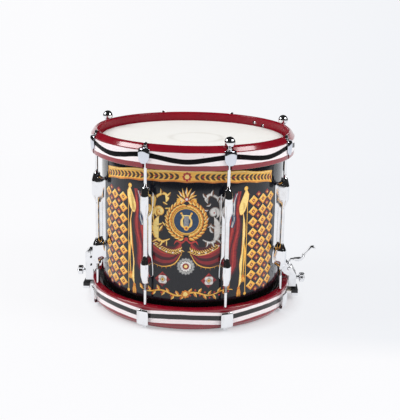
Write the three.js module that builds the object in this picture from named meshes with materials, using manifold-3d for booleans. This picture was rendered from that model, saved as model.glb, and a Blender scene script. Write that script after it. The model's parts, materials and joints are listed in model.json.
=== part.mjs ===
// A rod-tensioned field drum: a 14 by 12 inch ply shell between two wooden counterhoops,
// eight cast tube lugs, and a snare strainer on +X with its butt on -X.
// Millimetres, +Z up, the painted front faces -Y. The drum stands on its eight lower rod heads at z = 0.
import * as THREE from "three";
import { mergeVertices } from "three/addons/utils/BufferGeometryUtils.js";
import Module from "manifold-3d";

const wasm = await Module();
wasm.setup();

// Shell and the rings inside it
const shellRadius = 177.8;
const shellDepth = 304.8;
const shellWall = 6;
const ringWall = 6;
const ringDepth = 38;

// Hoops, heads and the rings that carry the heads
const hoopOverhang = 18.6;
const hoopDepth = 42;
const hoopStandOff = 7.2;
const hoopWall = 13.4;
const hoopEdgeRound = 4;
const hoopFootRound = 1.6;
const fleshHoopWall = 7.8;
const fleshHoopDepth = 9;
const headThickness = 0.6;
const headCollarDepth = 5;

// Tension stations
const stationCount = 8;
const firstStationTurnShare = 1 / 16;
const rodInset = 5.4;
const rodRadius = 3.1;
const rodHoleRadius = 3.5;
const rodSocketDepth = 24;
const ballStations = [0, 2, 5];
const ballRadius = 9.6;
const ballNeckRadius = 3.6;
const ballNeckHeight = 5;
const washerRadius = 5.6;
const washerThickness = 1.8;
const keyHeadRadius = 4.4;
const keyHeadTipRadius = 2.9;
const keyHeadHeight = 9.4;
const lowHeadRadius = 4.8;
const studDrop = 3;

// Claw clips
const clipWidth = 23.6;
const clipHeight = 28;
const clipDepth = 5;
const clipEdgeDrop = 5.4;
const clipLedgeWidth = 11.8;
const clipLedgeThickness = 3;
const clipLedgeReach = 5.9;
const clipCornerRound = 2.4;
const clipPointHalfWidth = 4.8;
const clipBevel = 0.9;

// Lugs
const lugLength = 188;
const ridgeHalfWidth = 4.3;
const ridgeReach = 14.6;
const bulbHalfWidth = 8.5;
const bulbReach = 25;
const lugTipHalfWidth = 5;
const lugTipReach = 20.4;
const flangeHalfWidth = 6.6;
const flangeFlareHalfWidth = 12.4;
const flangeThickness = 2.2;

// Snares and the gates that let them out of the lower hoop
const snareCount = 8;
const snarePitch = 3.6;
const snareWireRadius = 0.7;
const snareEndLength = 9;
const snareEndThickness = 1.2;
const strapThickness = 1;
const gateWidth = 40;
const gateHeight = 12;
const gateDrop = 5;

// Strainer and butt
const bracketPlateThickness = 3.8;
const bracketPlateWidth = 28;
const bracketPlateHeight = 44;
const bracketPlateLift = 5;
const cheekThickness = 2.6;
const cheekLegDepth = 15.6;
const cheekLegDrop = 18;
const carriageWidth = 18;
const carriageDepth = 10;
const carriageHeight = 25;
const pivotLift = 20;
const pivotOut = 0.9;
const pinRadius = 2.2;
const pinHeadRadius = 3.8;
const pinHeadThickness = 1.4;
const leverHubRadius = 6;
const leverWidth = 9;
const leverThickness = 3.2;
const armSpan = 50;
const gripWidth = 11;
const gripThickness = 5;
const knobRadius = 9.6;
const knobNeckRadius = 3.2;
const knobLength = 12;
const knobLobes = 6;
const knobGap = 6;
const clampWidth = 34;
const clampDepth = 13;
const clampHeight = 13.6;
const clampStemWidth = 8;
const clampStemHeight = 4.6;
const clampGrip = 8;
const clampOut = 1.5;
const screwHeadRadius = 2.3;
const screwHeadProud = 0.9;
const buttHeight = 66;
const buttWidth = 22;
const buttScrewInset = 3.9;

// Clearances, and how far a cutting tool runs past what it cuts
const seatGap = 0.3;
const runningGap = 0.4;
const overrun = 2;

// How finely round things are drawn
const hoopSegments = 72;
const innerRingSegments = 36;
const rodSides = 10;
const ballSides = 12;
const boreSides = 10;
const wireSides = 6;
const outerRoundSteps = 2;
const innerRoundSteps = 1;
const leverSteps = 18;
const gripSteps = 6;
const pointsPerLobe = 4;
const weldTolerance = 1e-4;

// Radii and heights that follow from the sizes above
const hoopInnerRadius = shellRadius + hoopStandOff;
const hoopOuterRadius = hoopInnerRadius + hoopWall;
const rodCircleRadius = hoopOuterRadius - rodInset;
const lowerHoopFoot = studDrop;
const shellFoot = lowerHoopFoot + hoopOverhang;
const shellTop = shellFoot + shellDepth;
const middle = shellFoot + shellDepth / 2;
const upperHoopTop = shellTop + hoopOverhang;
const stationTurns = Array.from(
  { length: stationCount },
  (_, k) => 2 * Math.PI * (firstStationTurnShare + k / stationCount) - Math.PI / 2,
);

const enamel = { color: 0x1b1d22, roughness: 0.25, metalness: 0 };
const ply = { color: 0xb08a5a, roughness: 0.6, metalness: 0 };
const lacquer = { color: 0x8c1228, roughness: 0.3, metalness: 0 };
const skin = { color: 0xeeebe2, roughness: 0.5, metalness: 0 };
const chrome = { color: 0xd4d6da, roughness: 0.12, metalness: 1 };
const blackened = { color: 0x17181a, roughness: 0.45, metalness: 0.5 };
const wire = { color: 0xb9bcc0, roughness: 0.35, metalness: 1 };

const drum = new THREE.Group();
drum.name = "field_drum";

// Turns triangles the other way round where a closed geometry faces inwards.
function faceOut(positions, triangles) {
  const [a, b, c] = [0, 1, 2].map(() => new THREE.Vector3());
  let volume = 0;
  for (let i = 0; i < triangles.length; i += 3) {
    a.fromArray(positions, triangles[i] * 3);
    b.fromArray(positions, triangles[i + 1] * 3);
    c.fromArray(positions, triangles[i + 2] * 3);
    volume += a.dot(b.cross(c));
  }
  if (volume < 0) triangles.reverse();
  return triangles;
}

function solidOf(geometry) {
  const bare = geometry.clone();
  bare.deleteAttribute("normal");
  bare.deleteAttribute("uv");
  const merged = mergeVertices(bare, weldTolerance);
  const vertProperties = merged.attributes.position.array;
  const triVerts = faceOut(vertProperties, new Uint32Array(merged.index.array));
  return new wasm.Manifold(new wasm.Mesh({ numProp: 3, vertProperties, triVerts }));
}

function geometryOf(solid) {
  const mesh = solid.getMesh();
  const geometry = new THREE.BufferGeometry();
  geometry.setAttribute("position", new THREE.BufferAttribute(mesh.vertProperties, 3));
  geometry.setIndex(new THREE.BufferAttribute(mesh.triVerts, 1));
  geometry.computeVertexNormals();
  return geometry;
}

function cut(body, tools) {
  return tools.reduce((left, tool) => left.subtract(solidOf(tool)), body);
}

function join(geometries) {
  return geometries.map(solidOf).reduce((whole, next) => whole.add(next));
}

function addPart(parent, name, solid, finish) {
  const mesh = new THREE.Mesh(geometryOf(solid), new THREE.MeshStandardMaterial(finish));
  mesh.name = name;
  parent.add(mesh);
  return mesh;
}

// A box between two corners
function block(x0, x1, y0, y1, z0, z1) {
  const box = new THREE.BoxGeometry(x1 - x0, y1 - y0, z1 - z0);
  return box.translate((x0 + x1) / 2, (y0 + y1) / 2, (z0 + z1) / 2);
}

// A profile of [radius, height] points turned about Z
function turned(profile, segments) {
  const points = profile.map(([r, z]) => new THREE.Vector2(r, z));
  return new THREE.LatheGeometry(points, segments).rotateX(Math.PI / 2);
}

// A closed ring: the profile comes back to its first point
function ring(profile, segments) {
  return turned([...profile, profile[0]], segments);
}

// A round bar along Z between two heights
function bar(radius, z0, z1, sides) {
  const rod = new THREE.CylinderGeometry(radius, radius, z1 - z0, sides);
  return rod.rotateX(Math.PI / 2).translate(0, 0, (z0 + z1) / 2);
}

// A round bar along X between two places
function barX(radius, x0, x1, sides) {
  const rod = new THREE.CylinderGeometry(radius, radius, x1 - x0, sides);
  return rod.rotateZ(Math.PI / 2).translate((x0 + x1) / 2, 0, 0);
}

// A round bar along Y between two places
function barY(radius, y0, y1, sides) {
  return new THREE.CylinderGeometry(radius, radius, y1 - y0, sides).translate(0, (y0 + y1) / 2, 0);
}

// An outline of [x, z] points given a thickness along Y, from y0 to y1
function sidePlate(outline, y0, y1) {
  const shape = new THREE.Shape(outline.map(([x, z]) => new THREE.Vector2(x, z)));
  const plate = new THREE.ExtrudeGeometry(shape, { depth: y1 - y0, bevelEnabled: false });
  return plate.rotateX(Math.PI / 2).translate(0, y1, 0);
}

// Mirrors a geometry in the plane half way up the shell
function upsideDown(geometry) {
  geometry.translate(0, 0, -middle).scale(1, 1, -1).translate(0, 0, middle);
  return geometry;
}

function quarterRound(cx, cz, radius, fromTurn, steps) {
  return Array.from({ length: steps + 1 }, (_, i) => {
    const turn = fromTurn + (Math.PI / 2) * (i / steps);
    return [cx + radius * Math.cos(turn), cz + radius * Math.sin(turn)];
  });
}

// Shell: a bare ply tube, and the two rings glued inside its ends
const ringOuter = shellRadius - shellWall - seatGap;
const ringInner = ringOuter - ringWall;
const tube = ring(
  [
    [shellRadius - shellWall, shellFoot],
    [shellRadius, shellFoot],
    [shellRadius, shellTop],
    [shellRadius - shellWall, shellTop],
  ],
  hoopSegments,
);
addPart(drum, "shell", solidOf(tube), enamel);

function reinforcingRing() {
  return ring(
    [
      [ringInner, shellTop - ringDepth],
      [ringOuter, shellTop - ringDepth],
      [ringOuter, shellTop],
      [ringInner, shellTop],
    ],
    innerRingSegments,
  );
}
addPart(drum, "reinforcing_ring_top", solidOf(reinforcingRing()), ply);
addPart(drum, "reinforcing_ring_bottom", solidOf(upsideDown(reinforcingRing())), ply);

// Heads: a film over the shell's edge, turned down past it and out over its flesh hoop
const collarInner = shellRadius + runningGap;
const collarOuter = collarInner + headThickness;
const headUnder = shellTop + seatGap;
const headTop = headUnder + headThickness;
const fleshTop = headUnder - headCollarDepth;
const fleshInner = collarOuter + seatGap;
const fleshOuter = fleshInner + fleshHoopWall;

function head() {
  return turned(
    [
      [0, headUnder],
      [collarInner, headUnder],
      [collarInner, fleshTop + seatGap],
      [fleshOuter, fleshTop + seatGap],
      [fleshOuter, fleshTop + seatGap + headThickness],
      [collarOuter, fleshTop + seatGap + headThickness],
      [collarOuter, headTop],
      [0, headTop],
    ],
    hoopSegments,
  );
}

function fleshHoop() {
  return ring(
    [
      [fleshInner, fleshTop - fleshHoopDepth],
      [fleshOuter, fleshTop - fleshHoopDepth],
      [fleshOuter, fleshTop],
      [fleshInner, fleshTop],
    ],
    hoopSegments,
  );
}
addPart(drum, "batter_head", solidOf(head()), skin);
addPart(drum, "batter_flesh_hoop", solidOf(fleshHoop()), wire);
addPart(drum, "snare_head", solidOf(upsideDown(head())), skin);
addPart(drum, "snare_flesh_hoop", solidOf(upsideDown(fleshHoop())), wire);

// Counterhoops: a bent wooden hoop with a ledge inside that presses on the flesh hoop
const hoopFoot = upperHoopTop - hoopDepth;
const ledgeHeight = fleshTop + headThickness + 2 * seatGap;
const rebateRadius = fleshOuter + seatGap;
const notchInner = rodCircleRadius - clipLedgeReach - seatGap;
const clipTop = upperHoopTop - clipEdgeDrop;
const clipLedgeUnder = clipTop - clipLedgeThickness;

function hoopBlank() {
  return ring(
    [
      ...quarterRound(
        hoopOuterRadius - hoopEdgeRound,
        upperHoopTop - hoopEdgeRound,
        hoopEdgeRound,
        0,
        outerRoundSteps,
      ),
      ...quarterRound(
        hoopInnerRadius + hoopEdgeRound,
        upperHoopTop - hoopEdgeRound,
        hoopEdgeRound,
        Math.PI / 2,
        innerRoundSteps,
      ),
      [hoopInnerRadius, ledgeHeight],
      [rebateRadius, ledgeHeight],
      [rebateRadius, hoopFoot],
      [hoopOuterRadius - hoopFootRound, hoopFoot],
      [hoopOuterRadius, hoopFoot + hoopFootRound],
    ],
    hoopSegments,
  );
}

// Where a claw hooks over the hoop: a notch for its ledge and a hole for the rod
function stationCuts(openSlot) {
  const past = hoopOuterRadius + overrun;
  const halfNotch = clipLedgeWidth / 2 + runningGap;
  const cuts = [
    block(notchInner, past, -halfNotch, halfNotch, clipLedgeUnder - seatGap, upperHoopTop + overrun),
    bar(rodHoleRadius, hoopFoot - overrun, upperHoopTop, boreSides).translate(rodCircleRadius, 0, 0),
  ];
  if (openSlot)
    cuts.push(
      block(rodCircleRadius, past, -rodHoleRadius, rodHoleRadius, hoopFoot - overrun, upperHoopTop),
    );
  return cuts;
}

function counterhoop(openSlots) {
  const cuts = stationTurns.flatMap((turn) =>
    stationCuts(openSlots).map((tool) => tool.rotateZ(turn)),
  );
  return { blank: hoopBlank(), cuts };
}

const upper = counterhoop(true);
addPart(drum, "top_counterhoop", cut(solidOf(upper.blank), upper.cuts), lacquer);

// The lower hoop is the same hoop turned over, with closed rod holes and a snare gate at each side
const gateTop = shellFoot + seatGap + gateHeight / 2 - gateDrop;
const gateFoot = gateTop - gateHeight;
const lower = counterhoop(false);
const gates = block(
  -hoopOuterRadius - overrun,
  hoopOuterRadius + overrun,
  -gateWidth / 2,
  gateWidth / 2,
  gateFoot,
  gateTop,
);
const lowerHoop = cut(solidOf(upsideDown(lower.blank)), [...lower.cuts.map(upsideDown), gates]);
addPart(drum, "bottom_counterhoop", lowerHoop, lacquer);

// Lugs: a slim ridge between two fluted bulbs, cast on a flange that flares at the ends.
// Each row: share of the half length from the middle, then shares from ridge to bulb of width and reach.
const lugRowShares = [
  [0.35, 0, 0],
  [0.39, 0.5, 0.55],
  [0.46, 1, 1],
  [0.6, 1, 1],
];
const bulbEndShare = 0.6;
const tipRowShares = [0.3, 0.65, 1];

function lugRows() {
  const mix = THREE.MathUtils.lerp;
  const rows = lugRowShares.map(([along, wide, out]) => ({
    along,
    half: mix(ridgeHalfWidth, bulbHalfWidth, wide),
    reach: mix(ridgeReach, bulbReach, out),
    flange: mix(flangeHalfWidth, flangeFlareHalfWidth, along * wide),
  }));
  tipRowShares.forEach((share) =>
    rows.push({
      along: mix(bulbEndShare, 1, share),
      half: mix(bulbHalfWidth, lugTipHalfWidth, share * share),
      reach: mix(bulbReach, lugTipReach, share * share),
      flange: mix(flangeFlareHalfWidth * bulbEndShare, flangeFlareHalfWidth, share),
    }),
  );
  const below = [...rows].reverse();
  return [...below.map((row) => ({ ...row, along: -row.along })), ...rows];
}

// One side of a lug's section, from the shell to the crown: [y, reach from the shell]
function lugHalfSection({ half, reach, flange }) {
  const foot = seatGap;
  const spread = Math.max(flange, half + flangeThickness / 2);
  return [
    [spread, foot],
    [spread, foot + flangeThickness / 2],
    [half, foot + flangeThickness],
    [half, reach - half],
    [half * Math.cos(Math.PI / 4), reach - half + half * Math.sin(Math.PI / 4)],
  ];
}

// Joins equal rings of points into a closed surface, with a fan over each end
function loft(rings, firstHub, lastHub) {
  const positions = [...rings.flat(), firstHub, lastHub].flat();
  const size = rings[0].length;
  const hubs = [rings.length * size, rings.length * size + 1];
  const triangles = [];
  for (let r = 0; r + 1 < rings.length; r++)
    for (let i = 0; i < size; i++) {
      const next = (i + 1) % size;
      const [a, b, c, d] = [r * size + i, r * size + next, (r + 1) * size + next, (r + 1) * size + i];
      triangles.push(a, b, c, a, c, d);
    }
  for (let i = 0; i < size; i++) {
    const next = (i + 1) % size;
    const last = (rings.length - 1) * size;
    triangles.push(next, i, hubs[0], last + i, last + next, hubs[1]);
  }
  const surface = new THREE.BufferGeometry();
  surface.setAttribute("position", new THREE.Float32BufferAttribute(positions, 3));
  surface.setIndex(triangles);
  return surface;
}

function lug() {
  const rows = lugRows();
  const rings = rows.map((row) => {
    const side = lugHalfSection(row);
    const z = middle + (row.along * lugLength) / 2;
    const outline = [...side, [0, row.reach], ...side.map(([y, x]) => [-y, x]).reverse()];
    return outline.map(([y, x]) => [shellRadius + x, y, z]);
  });
  const hub = (end) => [shellRadius + 2 * flangeThickness, 0, middle + (end * lugLength) / 2];
  const sockets = [-1, 1].map((end) => {
    const mouth = middle + end * (lugLength / 2 + overrun);
    const floor = middle + end * (lugLength / 2 - rodSocketDepth - seatGap);
    const span = [mouth, floor].sort((a, b) => a - b);
    return bar(rodHoleRadius, ...span, boreSides).translate(rodCircleRadius, 0, 0);
  });
  return cut(solidOf(loft(rings, hub(-1), hub(1))), sockets);
}

// Claw clips: a shield in front of the hoop, and a ledge that hooks over it and carries the rod's head
function shieldOutline(taperShare) {
  const half = clipWidth / 2 - clipBevel;
  const low = clipBevel;
  const high = clipHeight - clipBevel;
  const taper = clipHeight * taperShare;
  const shape = new THREE.Shape();
  shape.moveTo(-half, high);
  shape.lineTo(half, high);
  shape.lineTo(half, low + taper + clipCornerRound);
  shape.quadraticCurveTo(half, low + taper, half - clipCornerRound, low + taper * (1 - taperShare));
  shape.lineTo(clipPointHalfWidth, low);
  shape.lineTo(-clipPointHalfWidth, low);
  shape.lineTo(-half + clipCornerRound, low + taper * (1 - taperShare));
  shape.quadraticCurveTo(-half, low + taper, -half, low + taper + clipCornerRound);
  shape.closePath();
  return shape;
}

function clip(taperShare) {
  const back = hoopOuterRadius + runningGap;
  const shield = new THREE.ExtrudeGeometry(shieldOutline(taperShare), {
    depth: clipDepth - clipBevel,
    bevelThickness: clipBevel,
    bevelSize: clipBevel,
    bevelSegments: 1,
    curveSegments: outerRoundSteps,
  });
  shield.rotateX(Math.PI / 2).rotateZ(Math.PI / 2).translate(back, 0, clipTop - clipHeight);
  const halfLedge = clipLedgeWidth / 2;
  const ledgeEnd = back + clipDepth / 2;
  const ledge = block(notchInner + seatGap, ledgeEnd, -halfLedge, halfLedge, clipLedgeUnder, clipTop);
  const front = block(back - clipBevel - overrun, back, -clipWidth, clipWidth, hoopFoot, upperHoopTop);
  const hole = bar(rodHoleRadius, hoopFoot, upperHoopTop, boreSides).translate(rodCircleRadius, 0, 0);
  return cut(cut(solidOf(shield), [front]).add(solidOf(ledge)), [hole]);
}

// Tension rods: a screw with a key head or a ball, down through claw and hoop into the lug
const rodSeat = clipTop + seatGap;
const rodEnd = middle + lugLength / 2 - rodSocketDepth;

function tensionRod(topProfile) {
  return turned([[0, rodEnd], [rodRadius, rodEnd], [rodRadius, rodSeat], ...topProfile], rodSides);
}

function keyHead(height, foot, tip) {
  return [
    [washerRadius, rodSeat],
    [washerRadius, rodSeat + washerThickness],
    [foot, rodSeat + washerThickness],
    [tip, rodSeat + height],
    [0, rodSeat + height],
  ];
}

function ballHead() {
  const neckTop = rodSeat + washerThickness + ballNeckHeight;
  const start = Math.asin(ballNeckRadius / ballRadius);
  const centre = neckTop + ballRadius * Math.cos(start);
  const steps = ballSides / 2;
  const round = Array.from({ length: steps }, (_, i) => {
    const turn = start + (Math.PI - start) * (i / steps);
    return [ballRadius * Math.sin(turn), centre - ballRadius * Math.cos(turn)];
  });
  return [
    [washerRadius, rodSeat],
    [washerRadius, rodSeat + washerThickness],
    [ballNeckRadius, rodSeat + washerThickness],
    ...round,
    [0, centre + ballRadius],
  ];
}

const lowHeadHeight = upperHoopTop + studDrop - rodSeat;
const shieldTaperShare = 0.3;
const squareTaperShare = 0.08;

stationTurns.forEach((turn, k) => {
  const station = new THREE.Group();
  station.rotation.z = turn;
  drum.add(station);
  const number = k + 1;
  const topHead = ballStations.includes(k)
    ? ballHead()
    : keyHead(keyHeadHeight, keyHeadRadius, keyHeadTipRadius);
  const lowHead = keyHead(lowHeadHeight, lowHeadRadius, keyHeadRadius);
  const topRod = tensionRod(topHead).translate(rodCircleRadius, 0, 0);
  const bottomRod = upsideDown(tensionRod(lowHead).translate(rodCircleRadius, 0, 0));
  const bottomClip = upsideDown(geometryOf(clip(squareTaperShare)));
  addPart(station, `lug_${number}`, lug(), chrome);
  addPart(station, `top_clip_${number}`, clip(shieldTaperShare), chrome);
  addPart(station, `bottom_clip_${number}`, solidOf(bottomClip), chrome);
  addPart(station, `top_rod_${number}`, solidOf(topRod), chrome);
  addPart(station, `bottom_rod_${number}`, solidOf(bottomRod), chrome);
});

// Brackets: a plate on the shell, and a gooseneck that passes over the lower hoop and down outside it
const lowerHoopTop = lowerHoopFoot + hoopDepth;
const plateFoot = lowerHoopTop + bracketPlateLift;
const plateBack = shellRadius + seatGap + runningGap;
const plateFace = plateBack + bracketPlateThickness;
const legBack = hoopOuterRadius + runningGap;
const legFace = legBack + cheekLegDepth;
const legFoot = lowerHoopTop - cheekLegDrop;
const pivotX = legBack + pivotOut;
const pivotZ = lowerHoopTop + pivotLift;
const carriageFace = legFace;
const carriageBack = carriageFace - carriageDepth;
const carriageFoot = legFoot + seatGap;
const carriageTop = carriageFoot + carriageHeight;
const knobLiftShare = 2 / 3;
const knobZ = carriageFoot + carriageHeight * knobLiftShare;
const innerHalf = carriageWidth / 2 + runningGap;
const outerHalf = innerHalf + cheekThickness;

const bracketPlate = () =>
  block(
    plateBack,
    plateFace,
    -bracketPlateWidth / 2,
    bracketPlateWidth / 2,
    plateFoot,
    plateFoot + bracketPlateHeight,
  );

const cheekOutline = [
  [plateFace - bracketPlateThickness / 2, plateFoot],
  [legBack, plateFoot],
  [legBack, legFoot],
  [legFace, legFoot],
  [legFace, carriageTop],
  [pivotX + leverHubRadius, pivotZ + leverHubRadius / 2],
  [pivotX, pivotZ + leverHubRadius],
  [plateFace - bracketPlateThickness / 2, plateFoot + bracketPlateHeight],
];
const pinHole = barY(pinRadius + runningGap, -outerHalf - overrun, outerHalf + overrun, boreSides);
pinHole.translate(pivotX, 0, pivotZ);

const strainerSide = new THREE.Group();
drum.add(strainerSide);
const strainerBracket = cut(
  join([
    bracketPlate(),
    sidePlate(cheekOutline, innerHalf, outerHalf),
    sidePlate(cheekOutline, -outerHalf, -innerHalf),
  ]),
  [pinHole],
);
addPart(strainerSide, "strainer_bracket", strainerBracket, chrome);

// Carriage: slides outwards between the cheeks to tighten the snares, and holds the adjusting knob
const stemHalf = clampStemWidth / 2;
const clampTop = carriageFoot - clampStemHeight + seatGap;
const groove = block(
  carriageBack - overrun,
  carriageFace + overrun,
  -stemHalf - runningGap,
  stemHalf + runningGap,
  carriageFoot - overrun,
  carriageFoot + clampStemHeight,
);
const knobBore = barX(knobNeckRadius + runningGap, carriageBack - overrun, carriageFace + overrun, boreSides);
knobBore.translate(0, 0, knobZ);
const carriageBlank = block(
  carriageBack,
  carriageFace,
  -carriageWidth / 2,
  carriageWidth / 2,
  carriageFoot,
  carriageTop,
);
addPart(strainerSide, "strainer_carriage", cut(solidOf(carriageBlank), [groove, knobBore]), chrome);

// Throw-off lever: a hub on the pin between the cheeks, a cranked arm and a thicker grip
const armPathShares = [
  [0, 0],
  [0.03, 0.324],
  [0.25, 0.351],
  [0.46, 0.468],
  [0.66, 0.774],
  [0.92, 0.945],
  [1, 0.882],
];
const gripFromShare = 0.3;
const gripToShare = 0.62;

function armCurve() {
  const points = armPathShares.map(
    ([out, lift]) => new THREE.Vector3(pivotX + armSpan * out, 0, pivotZ + armSpan * lift),
  );
  return new THREE.CatmullRomCurve3(points);
}

function flatBar(curve, width, thickness, steps) {
  const shape = new THREE.Shape();
  shape.moveTo(-width / 2, -thickness / 2);
  shape.lineTo(width / 2, -thickness / 2);
  shape.lineTo(width / 2, thickness / 2);
  shape.lineTo(-width / 2, thickness / 2);
  shape.closePath();
  return new THREE.ExtrudeGeometry(shape, { steps, extrudePath: curve, curveSegments: 1 });
}

const arm = armCurve();
const gripPoints = [0, 0.25, 0.5, 0.75, 1].map((t) =>
  arm.getPointAt(THREE.MathUtils.lerp(gripFromShare, gripToShare, t)),
);
const leverHub = barY(leverHubRadius, -innerHalf + runningGap, innerHalf - runningGap, boreSides);
leverHub.translate(pivotX, 0, pivotZ);
const lever = cut(
  join([
    leverHub,
    flatBar(arm, leverWidth, leverThickness, leverSteps),
    flatBar(new THREE.CatmullRomCurve3(gripPoints), gripWidth, gripThickness, gripSteps),
  ]),
  [pinHole],
);
addPart(strainerSide, "throwoff_lever", lever, chrome);

const pinEnd = outerHalf + seatGap;
const pin = join([
  barY(pinRadius, -pinEnd - pinHeadThickness, pinEnd + pinHeadThickness, boreSides),
  barY(pinHeadRadius, pinEnd, pinEnd + pinHeadThickness, boreSides),
  barY(pinHeadRadius, -pinEnd - pinHeadThickness, -pinEnd, boreSides),
]);
const pinMesh = addPart(strainerSide, "lever_pivot_pin", pin, chrome);
pinMesh.position.set(pivotX, 0, pivotZ);

// Knobs: a lobed head on a short neck
const lobeShare = 0.14;

function knob(neckFrom) {
  const outline = new THREE.Shape();
  const points = knobLobes * pointsPerLobe;
  for (let i = 0; i < points; i++) {
    const turn = (2 * Math.PI * i) / points;
    const radius = knobRadius * (1 - lobeShare + lobeShare * Math.cos(knobLobes * turn));
    const at = [radius * Math.cos(turn), radius * Math.sin(turn)];
    if (i) outline.lineTo(...at);
    else outline.moveTo(...at);
  }
  const faceAt = carriageFace + knobGap;
  const disc = new THREE.ExtrudeGeometry(outline, { depth: knobLength, bevelEnabled: false });
  disc.rotateY(Math.PI / 2).translate(faceAt, 0, 0);
  const neck = barX(knobNeckRadius, neckFrom, faceAt + knobLength / 2, boreSides);
  return join([disc, neck]).translate([0, 0, knobZ]);
}
addPart(strainerSide, "strainer_knob", knob(carriageBack + seatGap), chrome);

// Snare clamp: two jaws on the strap, with a stem that runs in the carriage's groove
const snareZ = shellFoot - seatGap - headThickness - seatGap - snareWireRadius;
const strapTop = snareZ - snareEndThickness / 2 - seatGap;
const strapFoot = strapTop - strapThickness;
const clampFoot = clampTop - clampHeight;
const clampBack = carriageBack + clampOut;
const clampFace = clampBack + clampDepth;
const halfClamp = clampWidth / 2;
const snareHalf = ((snareCount - 1) * snarePitch) / 2 + snareWireRadius * 2;
const jaw = (lowZ, highZ) =>
  block(
    clampBack - overrun,
    clampBack + clampGrip + seatGap,
    -snareHalf - runningGap,
    snareHalf + runningGap,
    lowZ - seatGap,
    highZ + seatGap,
  );

function clampBody(lowZ, highZ, withStem) {
  const pieces = [block(clampBack, clampFace, -halfClamp, halfClamp, clampFoot, clampTop)];
  const stemTop = carriageFoot + clampStemHeight - runningGap;
  if (withStem)
    pieces.push(block(clampBack, carriageFace, -stemHalf, stemHalf, clampTop - overrun, stemTop));
  return cut(join(pieces), [jaw(lowZ, highZ)]);
}
addPart(strainerSide, "strainer_clamp", clampBody(strapFoot, strapTop, true), blackened);

const snareReach = shellRadius - snareEndLength / 2;
const strap = block(
  snareReach - snareEndLength + overrun,
  clampBack + clampGrip,
  -snareHalf,
  snareHalf,
  strapFoot,
  strapTop,
);
addPart(strainerSide, "snare_strap", solidOf(strap), skin);

// Snares: wires under the snare head, held in an end plate on the strainer side and a strap on the butt side
function snares() {
  const wires = Array.from({ length: snareCount }, (_, i) => {
    const y = (i - (snareCount - 1) / 2) * snarePitch;
    return barX(snareWireRadius, -snareReach, snareReach, wireSides).translate(0, y, snareZ);
  });
  const low = snareZ - snareEndThickness / 2;
  const high = snareZ + snareEndThickness / 2;
  const endPlate = block(snareReach - snareEndLength, snareReach, -snareHalf, snareHalf, low, high);
  const tail = block(
    -clampBack - clampGrip,
    -snareReach + snareEndLength,
    -snareHalf,
    snareHalf,
    low,
    high,
  );
  return join([...wires, endPlate, tail]);
}
addPart(drum, "snares", snares(), wire);

// Butt: a solid gooseneck with two screws in each side, and a plain clamp for the fixed end
const buttSide = new THREE.Group();
buttSide.rotation.z = Math.PI;
drum.add(buttSide);
const buttTop = legFoot + buttHeight;
const buttOutline = [
  [plateFace - bracketPlateThickness / 2, plateFoot],
  [legBack, plateFoot],
  [legBack, legFoot],
  [legFace, legFoot],
  [legFace, buttTop - cheekLegDepth / 2],
  [legFace - cheekLegDepth / 2, buttTop],
  [plateFace - bracketPlateThickness / 2, buttTop],
];
const screwLiftShares = [0.5, 0.75];
const screwX = legBack + buttScrewInset;
const screws = screwLiftShares.map((share) =>
  barY(screwHeadRadius, -buttWidth / 2 - screwHeadProud, buttWidth / 2 + screwHeadProud, rodSides).translate(
    screwX,
    0,
    legFoot + buttHeight * share,
  ),
);
const buttBore = barX(knobNeckRadius + runningGap, carriageBack, carriageFace + overrun, boreSides);
buttBore.translate(0, 0, knobZ);
const buttBracket = cut(
  join([bracketPlate(), sidePlate(buttOutline, -buttWidth / 2, buttWidth / 2), ...screws]),
  [buttBore],
);
addPart(buttSide, "butt_bracket", buttBracket, chrome);
addPart(buttSide, "butt_knob", knob(carriageBack + seatGap), chrome);
const tailLow = snareZ - snareEndThickness / 2;
addPart(buttSide, "butt_clamp", clampBody(tailLow, tailLow + snareEndThickness, false), blackened);

// The origin is on the floor, under the middle of the drum's whole reach from butt knob to lever
const reachBox = new THREE.Box3().setFromObject(drum);
drum.position.x = -(reachBox.min.x + reachBox.max.x) / 2;

export default drum;
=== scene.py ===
# A rod-tensioned field drum: striped lacquer hoops, chrome lugs and claws, a painted shell
import json
import math

import bmesh
import bpy
from mathutils import Matrix, Vector


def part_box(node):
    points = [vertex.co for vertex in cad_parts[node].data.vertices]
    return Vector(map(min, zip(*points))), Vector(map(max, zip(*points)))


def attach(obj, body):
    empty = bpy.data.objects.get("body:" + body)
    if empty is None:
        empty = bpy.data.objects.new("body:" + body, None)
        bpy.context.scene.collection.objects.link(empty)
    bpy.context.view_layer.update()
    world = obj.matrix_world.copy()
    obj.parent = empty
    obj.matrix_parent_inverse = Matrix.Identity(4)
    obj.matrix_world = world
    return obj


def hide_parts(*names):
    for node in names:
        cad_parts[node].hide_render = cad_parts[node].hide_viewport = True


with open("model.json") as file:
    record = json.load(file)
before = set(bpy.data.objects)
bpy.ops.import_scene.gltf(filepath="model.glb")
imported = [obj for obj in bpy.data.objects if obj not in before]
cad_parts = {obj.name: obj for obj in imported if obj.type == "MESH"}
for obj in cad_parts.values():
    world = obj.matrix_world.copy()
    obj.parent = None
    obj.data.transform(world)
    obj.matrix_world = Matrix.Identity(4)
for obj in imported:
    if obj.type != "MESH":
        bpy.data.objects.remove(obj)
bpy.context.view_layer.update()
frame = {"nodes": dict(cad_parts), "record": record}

mm = 0.001
cadNodes = frame["nodes"]

# Places that the frame gives
shellLow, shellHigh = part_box("shell")
drumX = (shellLow.x + shellHigh.x) / 2
shellRadius = (shellHigh.x - shellLow.x) / 2
middleZ = (shellLow.z + shellHigh.z) / 2
upperLow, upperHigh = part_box("top_counterhoop")
hoopRadius = (upperHigh.x - upperLow.x) / 2
stationCount = 8
firstStation = math.radians(22.5)  # from the front, towards the throw-off
stationStep = 2 * math.pi / stationCount
ballStations = (0, 2, 5)
roundSides = 288
toDrum = Matrix.Translation((drumX, 0, 0))


def stationTurn(k):  # turns local +X outwards at station k
    return Matrix.Rotation(firstStation + stationStep * k - math.pi / 2, 4, "Z")


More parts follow.
